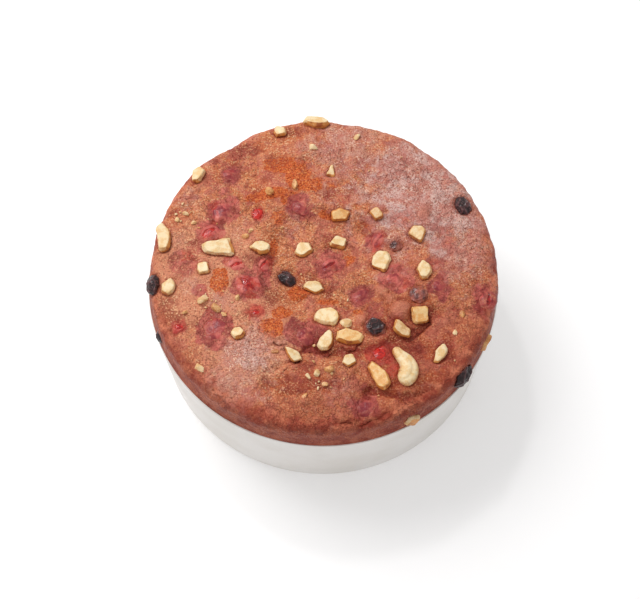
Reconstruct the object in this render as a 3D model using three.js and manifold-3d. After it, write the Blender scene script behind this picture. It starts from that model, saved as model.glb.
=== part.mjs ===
// A round fruit cake in its white paper baking case, with chopped cashew nuts, raisins and
// candied cherries baked into its crust.
//
// Millimetres, +Z up. The origin is the centre of the underside of the case, and -Y is the
// near side. A place on the crust is given as [x, y], measured along the crust from the middle
// of the cake, so that a place beyond the shoulder lies on the side of the cake.

import * as THREE from 'three';
import { ConvexGeometry } from 'three/addons/geometries/ConvexGeometry.js';
import { mergeVertices } from 'three/addons/utils/BufferGeometryUtils.js';
import Module from 'manifold-3d';

// ---- driving dimensions ----------------------------------------------------------------

const CASE_RIM_RADIUS = 85;
const CASE_FOOT_RADIUS = 84;
const CASE_HEIGHT = 50;
const CASE_FOOT_ROUND = 1.4;
const CASE_SEGMENTS = 64;
const PAPER = 0.5;
const FIT = 0.3; // clearance between pieces that touch

const CAKE_RADIUS = 83; // of the crust where it stands above the case
const SHOULDER_RADIUS = 5;
const CROWN_EDGE = CASE_HEIGHT + 14.5; // height of the crust where the shoulder starts
const CROWN_RISE = 1.6; // how much higher the middle would be without its dip
const DIP = { depth: 3.2, floor: 22, lip: 34 }; // shallow round dip in the middle

const CROWN_RADIUS = CAKE_RADIUS - SHOULDER_RADIUS;
const SHOULDER_RUN = (SHOULDER_RADIUS * Math.PI) / 2; // along the crust
const SIDE_RUN = 10; // along the crust, from the shoulder down to the rim of the case

const CROWN_RINGS = 15; // rings of facets
const SHOULDER_RINGS = 3;
const SIDE_RINGS = 2;

// ---- relief of the crust ---------------------------------------------------------------

// Broad swells: plain waves that cross each other.
const SWELLS = [
  { height: 0.34, length: 47, heading: 20, phase: 0.6 },
  { height: 0.3, length: 38, heading: 78, phase: 2.1 },
  { height: 0.27, length: 31, heading: 131, phase: 4.0 },
  { height: 0.22, length: 24, heading: 8, phase: 1.3 },
  { height: 0.16, length: 18, heading: 101, phase: 5.2 },
  { height: 0.12, length: 13, heading: 55, phase: 3.3 },
];

// Round mounds where fruit or a gas pocket lifts the crust, and hollows where it sank.
const MOUNDS = [
  { at: [-34, -50], reach: 19, height: 1.5 },
  { at: [0, -66], reach: 15, height: 1.1 },
  { at: [58, -36], reach: 16, height: 0.8 },
  { at: [40, 42], reach: 20, height: 0.7 },
  { at: [-10, 62], reach: 18, height: 0.6 },
  { at: [-62, -16], reach: 14, height: 0.7 },
  { at: [-66, 38], reach: 12, height: 0.6 },
  { at: [52, 8], reach: 6, height: 0.8 },
  { at: [36, -23.6], reach: 4.6, height: 2.0 },
  { at: [27.5, -35], reach: 4.5, height: 1.2 },
  { at: [16, -38], reach: 13, height: -1.3 },
  { at: [38, -10], reach: 8, height: -0.5 },
  { at: [21, -66], reach: 7, height: -0.9 },
  { at: [58.5, 11.5], reach: 7, height: 0.6 },
];

// Creases where the rising crust folded or split.
const CREASES = [
  { depth: 1.0, width: 2.6, path: [[-6, -40], [3, -46], [15, -45], [31, -41], [45, -33], [51, -24]] },
  { depth: 0.8, width: 1.6, path: [[-7, -43], [-13, -49], [-21, -53]] },
  { depth: 0.8, width: 2.0, path: [[6, -79], [22, -78], [30, -73]] },
];

// ---- toppings --------------------------------------------------------------------------

// Chopped cashew nuts. size: length, width, thickness. corners: where on the outline, in
// degrees from its far end. sunk: the share of the thickness below the crust, if not NUT_SUNK.
const NUTS = [
  { name: 'nut_far_edge', at: [-3.3, 79.6], size: [14.6, 6.4, 5.4],
    turn: -3, corners: [5, 68, 134, 204, 268, 318] },
  { name: 'nut_far_left', at: [-21.8, 74.4], size: [6.4, 5.4, 4.4],
    turn: 10, corners: [30, 110, 175, 230, 320] },
  { name: 'nut_left_shoulder', at: [-61.5, 48.8], size: [9.8, 6.4, 5],
    turn: 72, corners: [10, 75, 165, 215, 300] },
  { name: 'nut_back', at: [4, 51.4], size: [6.4, 4.4, 3.6], turn: 80, corners: [0, 125, 235] },
  { name: 'nut_left_long', at: [-76.2, 14.4], size: [16.8, 7.2, 5.4],
    turn: 97, corners: [5, 50, 163, 200, 236, 290] },
  { name: 'nut_left_broad', at: [-49.8, 8.3], size: [16.2, 9.4, 5.4], corners: [62, 150, 195, 232, 318] },
  { name: 'nut_dip_left', at: [-30.2, 8.6], size: [9.8, 7.2, 5], corners: [15, 80, 116, 193, 269, 316] },
  { name: 'nut_left_small', at: [-56.2, -2.3], size: [5.8, 6, 4.4], turn: 8, corners: [45, 135, 225, 315] },
  { name: 'nut_left_rim', at: [-72.4, -12.3], size: [6.6, 9.2, 5.2], corners: [7, 62, 173, 208, 277, 326] },
  { name: 'nut_pale', at: [-38.9, -36.5], size: [6.8, 6.4, 5], corners: [10, 70, 130, 190, 250, 310] },
  { name: 'nut_sliver', at: [-14, -46.4], size: [10, 5.4, 4.4],
    turn: -45, corners: [33, 71, 160, 195, 300] },
  { name: 'nut_dip_back', at: [8.6, 27], size: [9.8, 6.6, 4.8],
    turn: 12, corners: [15, 75, 140, 205, 300] },
  { name: 'nut_right_back', at: [25.7, 26.4], size: [6.8, 6, 4.4], turn: -20, corners: [0, 100, 180, 290] },
  { name: 'nut_right_wedge', at: [45.1, 15.3], size: [8.6, 9, 4.8], corners: [20, 52, 120, 188, 285] },
  { name: 'nut_dip_right', at: [28.1, 1.5], size: [9.6, 11.2, 5.4], corners: [12, 46, 100, 141, 198, 290] },
  { name: 'nut_right', at: [47.7, -3.9], size: [7, 10.4, 5], corners: [30, 99, 182, 245, 298, 345] },
  { name: 'nut_square', at: [44.5, -26.5], size: [8.4, 9, 6.2], corners: [48, 144, 240, 318] },
  { name: 'nut_dip_front', at: [1.8, -27.7], size: [12.4, 10.6, 5.8],
    corners: [20, 69, 138, 190, 299, 335] },
  { name: 'nut_drop', at: [1.5, -39.2], size: [10.8, 6.6, 5.2],
    turn: 68, corners: [0, 100, 140, 175, 221, 255, 315] },
  { name: 'nut_tawny', at: [12.2, -37.5], size: [13.4, 7.8, 5.4], corners: [9, 99, 136, 210, 264, 318] },
  { name: 'nut_wedge', at: [35.9, -33.9], size: [10.6, 6, 5],
    turn: -40, corners: [45, 139, 246, 287, 349] },
  { name: 'nut_front_small', at: [11.7, -49.5], size: [6.4, 6.2, 4.2], corners: [60, 130, 205, 270, 335] },
  { name: 'nut_front_long', at: [25.3, -56.3], size: [14.6, 7.6, 5.6],
    turn: -58, corners: [27, 86, 171, 205, 300, 324] },
  { name: 'nut_front_right', at: [53.3, -45.9], size: [9.8, 5.2, 4.4],
    turn: 62, corners: [10, 96, 150, 213, 270, 306] },
  { name: 'nut_right_side', at: [82, -39], size: [8.2, 7.4, 5.4],
    turn: 60, corners: [40, 130, 215, 310], sunk: 0.5 },
  { name: 'nut_front_side', at: [43.8, -79.8], size: [7.6, 7, 5.2],
    turn: 30, corners: [20, 100, 190, 280], sunk: 0.5 },
  { name: 'nut_middle_left', at: [-9.5, 8.5], size: [9.6, 7, 5],
    turn: 35, corners: [20, 90, 160, 230, 310] },
  { name: 'nut_middle_back', at: [7.5, 12.5], size: [7.6, 6.4, 4.6],
    turn: -20, corners: [45, 120, 225, 320] },
  { name: 'nut_middle_front', at: [-4, -11.5], size: [10.4, 6.2, 4.8],
    turn: -15, corners: [0, 70, 140, 200, 290] },
];
const NUT_SUNK = 0.4;
// How much wider the far end of a nut is than its middle, where that isn't nothing.
const TAPERS = { nut_left_broad: 0.3, nut_sliver: 0.3, nut_drop: -0.35, nut_left_long: -0.1 };
// The three outlines of a nut, from its foot up. cut: half the angle that a blunted corner
// takes up, in degrees.
const NUT_LEVELS = [
  { height: -0.5, scale: 0.8, cut: 0 },
  { height: 0.16, scale: 1, cut: 8 },
  { height: 0.5, scale: 0.82, cut: 7 },
];
const NUT_UNEVEN = 0.1; // the share by which a corner may fall short
const NUT_SLANT = 0.3; // how far the top may slope
const TAWNY_NUTS = ['nut_square', 'nut_tawny', 'nut_front_long', 'nut_dip_back', 'nut_right_side'];

// The one whole cashew: a thick comma, through these points [x, y, radius] about its middle.
const WHOLE_NUT = {
  name: 'cashew_whole',
  at: [37.6, -52.9],
  spine: [
    [-4.9, 9.4, 2.1], [-3, 6.5, 2.6], [0, 3, 3.6],
    [1.2, -0.6, 4.3], [-0.1, -4.2, 4.4], [-2.7, -6, 3.4],
  ],
  flatness: 0.82, // height over width of its section
  sunk: 0.34,
  stations: 11,
  sides: 8,
  end: { run: 1.5, narrowing: 0.82, push: 0.55, tip: 0.25 }, // run in stations, the rest in radii
};

// Raisins, wrinkled, and candied fruit, whose tops only just show through the crust.
const RAISINS = [
  { name: 'raisin_left', at: [-80.4, -10.3], size: [11.4, 7.8, 7], turn: 85, sunk: 0.5 },
  { name: 'raisin_right_back', at: [68, 32.2], size: [11.6, 9, 6.8], turn: 105, sunk: 0.52 },
  { name: 'raisin_right_side', at: [67.8, -57], size: [13.6, 10.6, 7.8], turn: 50, sunk: 0.5 },
  { name: 'raisin_front', at: [24, -32.8], size: [11.6, 9.6, 7.4], turn: -15, sunk: 0.5 },
  { name: 'raisin_left_side', at: [-84.8, -36], size: [8.2, 5.8, 5], turn: -66, sunk: 0.64 },
  { name: 'raisin_dusty', at: [34.7, 9.9], size: [8.4, 7.2, 5.8], turn: 20, sunk: 0.66 },
  { name: 'raisin_half_sunk', at: [44.7, -16], size: [10.8, 10, 7], turn: 60, sunk: 0.62 },
  { name: 'raisin_middle', at: [-17, -6.5], size: [10.4, 8, 6.2], turn: -35, sunk: 0.55 },
];
const CANDIED_FRUIT = [
  { name: 'cherry_bright', at: [-31.6, 27.3], size: [9, 7, 5], turn: 75, sunk: 0.78 },
  { name: 'cherry_back_purple', at: [-48.5, 28.2], size: [12.6, 11, 5.4], turn: 30, sunk: 0.84 },
  { name: 'cherry_back_left', at: [-54.1, 17], size: [10, 7.6, 5], turn: 30, sunk: 0.84 },
  { name: 'cherry_left_shoulder', at: [-45.4, 49.6], size: [9.4, 7.4, 5], turn: 20, sunk: 0.82 },
  { name: 'cherry_left_pink', at: [-41, -0.8], size: [9.4, 6.6, 4.8], turn: -20, sunk: 0.82 },
  { name: 'cherry_left_slit', at: [-35.4, -10.8], size: [14, 11.4, 5.8], turn: -10, sunk: 0.82 },
  { name: 'cherry_left_front', at: [-31.2, -25.2], size: [8.6, 6, 4.6], turn: 15, sunk: 0.84 },
  { name: 'cherry_far_left', at: [-66.4, -32.5], size: [5.8, 5.2, 4.2], turn: 0, sunk: 0.82 },
  { name: 'cherry_dark', at: [-50.1, -34], size: [14.6, 12.6, 5.6], turn: 30, sunk: 0.86 },
  { name: 'cherry_crease', at: [-8.2, -37.2], size: [10, 9.6, 5.4], turn: 0, sunk: 0.82 },
  { name: 'cherry_front', at: [25.6, -45.4], size: [8.4, 7.4, 5], turn: 25, sunk: 0.8 },
  { name: 'cherry_right', at: [34.6, -8], size: [10.6, 8.4, 5.2], turn: 0, sunk: 0.82 },
  { name: 'cherry_far_right', at: [54.4, -12], size: [8.6, 8, 5], turn: 0, sunk: 0.82 },
  { name: 'cherry_right_edge', at: [77.6, -18.4], size: [10.4, 7.6, 5.2], turn: 75, sunk: 0.82 },
  { name: 'cherry_near_edge', at: [19.5, -71.3], size: [9.6, 8, 5], turn: 0, sunk: 0.84 },
  { name: 'fruit_dip_back', at: [-11, 30.4], size: [10.6, 7.4, 5], turn: -30, sunk: 0.78 },
  { name: 'fruit_dip_right', at: [26, 13.2], size: [8.6, 6, 5], turn: 75, sunk: 0.8 },
  { name: 'fruit_dip_front', at: [18, -16], size: [10, 7, 5], turn: 40, sunk: 0.78 },
  { name: 'fruit_dip_left', at: [-28.2, -0.6], size: [7.8, 5.4, 4.8], turn: 85, sunk: 0.8 },
  { name: 'cherry_middle', at: [3.2, 0.4], size: [10.4, 9, 5.2], turn: 50, sunk: 0.82 },
];

// Nut crumbs too small to be pieces of their own: [x, y, length], part of the crust.
const CRUMBS = [
  [-4.9, 64.5, 3.8], [17.2, 71.5, 3.2], [-13.6, 43, 4.4], [-26.2, 39, 4.6], [-37.6, 14.8, 3.4],
  [-34.8, 17.6, 2.8], [-70.6, 24.4, 2.6], [-66.6, 27.6, 2.6], [-62.4, 22.6, 2.4], [-55.9, -18.8, 5],
  [-49.6, -23.4, 4.2], [-45.6, -26.4, 2.8], [-63.6, -25.4, 2.4], [-39.8, -18.2, 2.8], [-56, -52.4, 4.4],
  [-22, -45.4, 3], [3.2, -53.6, 4.8], [-2.6, -55.6, 3.4], [-6.8, -56.8, 2.6], [1, -60.8, 2.6],
  [-8.2, -66.4, 2.6], [64.6, -26, 3.2], [60.6, -35.4, 2.8], [10.9, -31, 5.4],
];
const CRUMB_CORNERS = [0, 120, 240];
const CRUMB_SHAPE = [1, 0.72, 0.7]; // its length, width and height over its length
const CRUMB_LIFT = 0.1; // over its height
const CRUMB_TURN = 47; // degrees from one to the next

// The share by which the surface of a raisin, or of a candied fruit, may fall short.
const RAISIN_UNEVEN = 0.16;
const FRUIT_UNEVEN = 0.06;

// ---- colours ---------------------------------------------------------------------------

const finish = (color, roughness) => new THREE.MeshStandardMaterial({ color, roughness, metalness: 0 });
const CRUST = finish(0xb56e52, 0.75);
const WHITE_PAPER = finish(0xf1efee, 0.6);
const PALE_NUT = finish(0xecd9ae, 0.5);
const TAWNY_NUT = finish(0xe0b073, 0.5);
const RAISIN = finish(0x38282a, 0.45);
const CHERRY = finish(0xa4403a, 0.35);

// ---- the surface of the crust ----------------------------------------------------------

const wasm = await Module();
wasm.setup();

const clamp = THREE.MathUtils.clamp;
const lerp = THREE.MathUtils.lerp;
const smoothstep = THREE.MathUtils.smoothstep;
const radians = THREE.MathUtils.degToRad;

/** The same numbers from 0 to 1 on every run. */
function seededRandom(seed) {
  let state = seed * 2654435761;
  return () => {
    state = (state + 0x6d2b79f5) | 0;
    let mixed = Math.imul(state ^ (state >>> 15), 1 | state);
    mixed = (mixed + Math.imul(mixed ^ (mixed >>> 7), 61 | mixed)) ^ mixed;
    return ((mixed ^ (mixed >>> 14)) >>> 0) / 4294967296;
  };
}

/** Distance from (x, y) to a line through several points. */
function distanceToPath(x, y, path) {
  let nearest = Infinity;
  for (let i = 1; i < path.length; i += 1) {
    const [x0, y0] = path[i - 1];
    const [dx, dy] = [path[i][0] - x0, path[i][1] - y0];
    const along = clamp(((x - x0) * dx + (y - y0) * dy) / (dx * dx + dy * dy), 0, 1);
    nearest = Math.min(nearest, Math.hypot(x - x0 - along * dx, y - y0 - along * dy));
  }
  return nearest;
}

/** Height of the top of the cake, inside the shoulder. */
function crownHeight(x, y) {
  const r = Math.hypot(x, y);
  let z = CROWN_EDGE + CROWN_RISE * (1 - (r / CROWN_RADIUS) ** 2);
  z -= DIP.depth * (1 - smoothstep(r, DIP.floor, DIP.lip));
  for (const { height, length, heading, phase } of SWELLS) {
    const along = x * Math.cos(radians(heading)) + y * Math.sin(radians(heading));
    z += height * Math.sin((2 * Math.PI * along) / length + phase);
  }
  for (const { at, reach, height } of MOUNDS) {
    z += height * Math.exp(-((x - at[0]) ** 2 + (y - at[1]) ** 2) / reach ** 2);
  }
  for (const { depth, width, path } of CREASES) {
    z -= depth * Math.exp(-((distanceToPath(x, y, path) / width) ** 2));
  }
  return z;
}

/** Radius of the cake just under its shoulder, slightly out of round. */
function sideRadius(bearing) {
  const broad = 0.3 * Math.cos(bearing) + 0.25 * Math.sin(3 * bearing + 1);
  return CAKE_RADIUS + broad + 0.2 * Math.sin(7 * bearing + 2);
}

const CASE_INNER_RIM = CASE_RIM_RADIUS - PAPER;
const CASE_INNER_FOOT = CASE_FOOT_RADIUS - PAPER;

/** The point at a distance along the crust from the middle: crown, shoulder, then side. */
function crustPoint(distance, bearing) {
  const inner = Math.min(distance, CROWN_RADIUS);
  const crown = crownHeight(inner * Math.cos(bearing), inner * Math.sin(bearing));
  const lean = clamp((distance - CROWN_RADIUS) / SHOULDER_RADIUS, 0, Math.PI / 2);
  const down = clamp((distance - CROWN_RADIUS - SHOULDER_RUN) / SIDE_RUN, 0, 1);
  const shoulderReach = SHOULDER_RADIUS + sideRadius(bearing) - CAKE_RADIUS;
  const underShoulder = crown - SHOULDER_RADIUS * (1 - Math.cos(lean));
  const shoulderEdge = inner + shoulderReach * Math.sin(lean);
  const r = lerp(shoulderEdge, CASE_INNER_RIM - FIT, down * down);
  const z = lerp(underShoulder, CASE_HEIGHT, down);
  return new THREE.Vector3(r * Math.cos(bearing), r * Math.sin(bearing), z);
}

// ---- meshes ----------------------------------------------------------------------------

/** A geometry from points and triangles. */
function geometryFrom(points, triangles) {
  const geometry = new THREE.BufferGeometry();
  geometry.setAttribute('position', new THREE.Float32BufferAttribute(points.flat(), 3));
  geometry.setIndex(triangles.flat());
  geometry.computeVertexNormals();
  return geometry;
}

/** A geometry with only positions, its shared vertices merged. */
function welded(geometry) {
  const plain = geometry.clone();
  plain.deleteAttribute('normal');
  plain.deleteAttribute('uv');
  return mergeVertices(plain);
}

/** A manifold-3d solid of a closed geometry, moved by a matrix. */
function solidOf(geometry, matrix) {
  const closed = welded(geometry).applyMatrix4(matrix);
  return new wasm.Manifold(new wasm.Mesh({
    numProp: 3,
    vertProperties: new Float32Array(closed.attributes.position.array),
    triVerts: new Uint32Array(closed.index.array),
  }));
}

/** A three.js geometry of a manifold-3d solid. */
function geometryOf(solid) {
  const { vertProperties, triVerts } = solid.getMesh();
  const geometry = new THREE.BufferGeometry();
  geometry.setAttribute('position', new THREE.BufferAttribute(vertProperties, 3));
  geometry.setIndex(new THREE.BufferAttribute(triVerts, 1));
  geometry.computeVertexNormals();
  return geometry;
}

/** The paper case: a straight-sided cup with a flat floor and a small round at its foot. */
function paperCase() {
  const bend = (radius, start, steps) => Array.from({ length: steps + 1 }, (_, i) => {
    const angle = start + (i / steps) * (Math.PI / 2);
    const centre = [CASE_FOOT_RADIUS - CASE_FOOT_ROUND, CASE_FOOT_ROUND];
    return new THREE.Vector2(centre[0] + radius * Math.cos(angle), centre[1] + radius * Math.sin(angle));
  });
  const outside = bend(CASE_FOOT_ROUND, -Math.PI / 2, 2);
  const inside = bend(CASE_FOOT_ROUND - PAPER, -Math.PI / 2, 2).reverse();
  const profile = [
    new THREE.Vector2(0, 0),
    ...outside,
    new THREE.Vector2(CASE_RIM_RADIUS, CASE_HEIGHT),
    new THREE.Vector2(CASE_INNER_RIM, CASE_HEIGHT),
    ...inside,
    new THREE.Vector2(0, PAPER),
  ];
  const geometry = new THREE.LatheGeometry(profile, CASE_SEGMENTS);
  geometry.rotateX(Math.PI / 2);
  return geometry;
}

/** The bare cake: a grid of squares bent into rings over the crown, shoulder and side. */
function bareCake() {
  const rings = CROWN_RINGS + SHOULDER_RINGS + SIDE_RINGS;
  const distances = Array.from({ length: rings + 1 }, (_, ring) => {
    const shoulder = clamp((ring - CROWN_RINGS) / SHOULDER_RINGS, 0, 1);
    const side = clamp((ring - CROWN_RINGS - SHOULDER_RINGS) / SIDE_RINGS, 0, 1);
    return CROWN_RADIUS * Math.min(ring / CROWN_RINGS, 1) + SHOULDER_RUN * shoulder + SIDE_RUN * side;
  });
  const points = [];
  const triangles = [];
  const across = 2 * rings + 1;
  for (let row = -rings; row <= rings; row += 1) {
    for (let column = -rings; column <= rings; column += 1) {
      const ring = Math.max(Math.abs(row), Math.abs(column));
      let bearing = 0;
      if (ring > 0 && Math.abs(column) >= Math.abs(row)) {
        bearing = (Math.PI / 4) * (row / column) + (column < 0 ? Math.PI : 0);
      } else if (ring > 0) {
        bearing = Math.PI / 2 - (Math.PI / 4) * (column / row) + (row < 0 ? Math.PI : 0);
      }
      points.push(crustPoint(distances[ring], bearing).toArray());
    }
  }
  const index = (row, column) => (row + rings) * across + column + rings;
  for (let row = -rings; row < rings; row += 1) {
    for (let column = -rings; column < rings; column += 1) {
      const [a, b] = [index(row, column), index(row, column + 1)];
      const [c, d] = [index(row + 1, column + 1), index(row + 1, column)];
      if (row * column > 0 || (row === 0 && column === 0)) {
        triangles.push([a, b, c], [a, c, d]);
      } else {
        triangles.push([a, b, d], [b, c, d]);
      }
    }
  }
  // the outermost ring, in order, then the wall inside the case and the flat underside
  const rim = [];
  for (let i = -rings; i < rings; i += 1) rim.push(index(-rings, i));
  for (let i = -rings; i < rings; i += 1) rim.push(index(i, rings));
  for (let i = rings; i > -rings; i -= 1) rim.push(index(rings, i));
  for (let i = rings; i > -rings; i -= 1) rim.push(index(i, -rings));
  const foot = [
    { r: CASE_INNER_FOOT - FIT, z: CASE_FOOT_ROUND + FIT },
    { r: CASE_INNER_FOOT - FIT - CASE_FOOT_ROUND, z: PAPER + FIT },
  ];
  let above = rim;
  for (const { r, z } of foot) {
    const below = rim.map((corner) => {
      const [x, y] = points[corner];
      const bearing = Math.atan2(y, x);
      return points.push([r * Math.cos(bearing), r * Math.sin(bearing), z]) - 1;
    });
    above.forEach((corner, i) => {
      const next = (i + 1) % above.length;
      triangles.push([corner, below[i], below[next]], [corner, below[next], above[next]]);
    });
    above = below;
  }
  const middle = points.push([0, 0, PAPER + FIT]) - 1;
  above.forEach((corner, i) => triangles.push([corner, middle, above[(i + 1) % above.length]]));
  return geometryFrom(points, triangles);
}

/** A chopped piece of nut: the hull of three uneven outlines, the upper ones with blunt corners. */
function nutPiece({ size, corners, taper = 0, seed, grow = 0 }) {
  const random = seededRandom(seed);
  const slope = [NUT_SLANT * (2 * random() - 1), NUT_SLANT * (2 * random() - 1)];
  const reaches = corners.map(() => 1 - NUT_UNEVEN * random());
  const points = [];
  for (const { height, scale, cut } of NUT_LEVELS) {
    corners.forEach((corner, i) => {
      for (const angle of cut > 0 ? [corner - cut, corner + cut] : [corner]) {
        const reach = scale * reaches[i] * (1 + NUT_UNEVEN * (random() - 0.5));
        const along = reach * Math.cos(radians(angle));
        const across = reach * Math.sin(radians(angle)) * (1 + taper * along);
        const slant = height > 0 ? slope[0] * along + slope[1] * across : 0;
        points.push(new THREE.Vector3(along, across, height * (1 + slant)));
      }
    });
  }
  // stretched to its size
  const extent = new THREE.Box3().setFromPoints(points);
  const middle = extent.getCenter(new THREE.Vector3());
  const stretch = new THREE.Vector3(...size).addScalar(2 * grow);
  stretch.divide(extent.getSize(new THREE.Vector3()));
  return new ConvexGeometry(points.map((point) => point.sub(middle).multiply(stretch)));
}

/** A raisin, round all over, or a candied fruit, which is a bun with a plain underside. */
function berry({ size, form, uneven, seed, grow = 0 }) {
  const random = seededRandom(seed);
  const geometry = welded(form);
  const position = geometry.attributes.position;
  for (let i = 0; i < position.count; i += 1) {
    const reach = 1 - uneven * random();
    const point = new THREE.Vector3().fromBufferAttribute(position, i).multiplyScalar(reach);
    const stretched = size.map((side, axis) => point.getComponent(axis) * (side / 2 + grow / (1 - uneven)));
    position.setXYZ(i, ...stretched);
  }
  geometry.computeVertexNormals();
  return geometry;
}

/** The whole cashew: a tube of changing radius along its spine, with round ends. */
function wholeNut({ spine, flatness, stations, sides, end, grow = 0 }) {
  const curve = new THREE.CatmullRomCurve3(spine.map(([x, y, radius]) => new THREE.Vector3(x, y, radius)));
  const points = [];
  const triangles = [];
  for (let station = 0; station <= stations; station += 1) {
    const t = station / stations;
    const here = curve.getPoint(t);
    const heading = curve.getTangent(t).setZ(0).normalize();
    const outward = new THREE.Vector3(heading.y, -heading.x, 0);
    // each end closes in a quarter round
    const close = Math.max(0, 1 - Math.min(station, stations - station) / end.run);
    const radius = (here.z + grow) * Math.sqrt(1 - (end.narrowing * close) ** 2);
    const push = (here.z + grow) * end.push * close * (station < stations / 2 ? -1 : 1);
    for (let side = 0; side < sides; side += 1) {
      const angle = ((side + 0.5) / sides) * 2 * Math.PI;
      const across = outward.clone().multiplyScalar(radius * Math.cos(angle));
      across.addScaledVector(heading, push);
      points.push([here.x + across.x, here.y + across.y, flatness * radius * Math.sin(angle)]);
    }
  }
  for (let station = 0; station < stations; station += 1) {
    for (let side = 0; side < sides; side += 1) {
      const next = (side + 1) % sides;
      const [a, b] = [station * sides + side, station * sides + next];
      triangles.push([a, a + sides, b + sides], [a, b + sides, b]);
    }
  }
  for (const station of [0, stations]) {
    const ring = Array.from({ length: sides }, (_, side) => station * sides + side);
    const middle = ring.reduce((sum, i) => sum.add(new THREE.Vector3(...points[i])), new THREE.Vector3());
    const heading = curve.getTangent(station / stations).setZ(0).normalize();
    const outward = (curve.getPoint(station / stations).z + grow) * end.tip * (station === 0 ? -1 : 1);
    const tip = points.push(middle.divideScalar(sides).addScaledVector(heading, outward).toArray()) - 1;
    ring.forEach((a, side) => {
      const b = ring[(side + 1) % sides];
      triangles.push(station === 0 ? [a, b, tip] : [b, a, tip]);
    });
  }
  return geometryFrom(points, triangles);
}

// ---- assembly --------------------------------------------------------------------------

const BALL = new THREE.IcosahedronGeometry(1, 1);
const BUN_OUTLINE = [[0, -0.8], [1, 0], [0.72, 0.72], [0, 1]].map(([r, z]) => new THREE.Vector2(r, z));
const BUN = new THREE.LatheGeometry(BUN_OUTLINE, 8).rotateX(Math.PI / 2);

const BED = 4; // the length of crust that a piece's seat is levelled over

/** Sets a mesh in the crust, its own Z along the crust's normal, sunk by a depth. */
function seat(mesh, [x, y], turn, lift) {
  const distance = Math.hypot(x, y);
  const bearing = Math.atan2(y, x);
  const turnPerMm = 1 / Math.max(Math.min(distance, CAKE_RADIUS), BED);
  const here = crustPoint(distance, bearing);
  const outward = crustPoint(distance + BED / 2, bearing)
    .sub(crustPoint(Math.max(distance - BED / 2, 0), bearing));
  const sideways = crustPoint(distance, bearing + (BED / 2) * turnPerMm)
    .sub(crustPoint(distance, bearing - (BED / 2) * turnPerMm));
  const up = outward.cross(sideways).normalize();
  const heading = new THREE.Vector3(Math.cos(radians(turn)), Math.sin(radians(turn)), 0);
  const left = up.clone().cross(heading).normalize();
  const ahead = left.clone().cross(up);
  mesh.quaternion.setFromRotationMatrix(new THREE.Matrix4().makeBasis(ahead, left, up));
  mesh.position.copy(here).addScaledVector(up, lift);
  mesh.updateMatrixWorld();
}

const fruitCake = new THREE.Group();

const paper = new THREE.Mesh(paperCase(), WHITE_PAPER);
paper.name = 'paper_case';
fruitCake.add(paper);

// Every topping, with the shape of its socket in the crust.
const toppings = [
  ...NUTS.map((nut, i) => {
    const shape = { ...nut, taper: TAPERS[nut.name], seed: i + 1 };
    const material = TAWNY_NUTS.includes(nut.name) ? TAWNY_NUT : PALE_NUT;
    return { ...nut, material, shape: (grow) => nutPiece({ ...shape, grow }), sunk: nut.sunk ?? NUT_SUNK };
  }),
  ...RAISINS.map((raisin, i) => {
    const shape = { ...raisin, form: BALL, uneven: RAISIN_UNEVEN, seed: i + 101 };
    return { ...raisin, material: RAISIN, shape: (grow) => berry({ ...shape, grow }) };
  }),
  ...CANDIED_FRUIT.map((fruit, i) => {
    const shape = { ...fruit, form: BUN, uneven: FRUIT_UNEVEN, seed: i + 201 };
    return { ...fruit, material: CHERRY, shape: (grow) => berry({ ...shape, grow }) };
  }),
  {
    ...WHOLE_NUT,
    material: PALE_NUT,
    turn: 0,
    size: [0, 0, 2 * WHOLE_NUT.flatness * Math.max(...WHOLE_NUT.spine.map(([, , radius]) => radius))],
    shape: (grow) => wholeNut({ ...WHOLE_NUT, grow }),
  },
];

// The crust with its crumbs, then a socket for each topping.
let crust = solidOf(bareCake(), new THREE.Matrix4());
CRUMBS.forEach(([x, y, length], i) => {
  const size = CRUMB_SHAPE.map((share) => share * length);
  const crumb = new THREE.Mesh(nutPiece({ size, corners: CRUMB_CORNERS, seed: i + 301 }), CRUST);
  seat(crumb, [x, y], CRUMB_TURN * i, size[2] * CRUMB_LIFT);
  crust = crust.add(solidOf(crumb.geometry, crumb.matrixWorld));
});
for (const { name, at, turn, size, sunk, shape, material } of toppings) {
  const mesh = new THREE.Mesh(shape(0), material);
  mesh.name = name;
  seat(mesh, at, turn ?? 0, size[2] * (0.5 - sunk));
  crust = crust.subtract(solidOf(shape(FIT), mesh.matrixWorld));
  fruitCake.add(mesh);
}

const cake = new THREE.Mesh(geometryOf(crust), CRUST);
cake.name = 'cake';
fruitCake.add(cake);

export default fruitCake;
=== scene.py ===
# A round fruit cake in its white paper baking case: a browned crust with chopped cashews,
# one whole cashew, raisins and candied cherries baked into it.
#
# Sizes are in millimetres, and a mesh is in metres. +Z is up, the cake stands on z = 0, and -Y
# is the near side. A place on the crust is [x, y], measured along the crust from the middle.

import itertools
import math

import bmesh
import bpy
import numpy as np
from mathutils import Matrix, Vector
from mathutils.bvhtree import BVHTree


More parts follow.
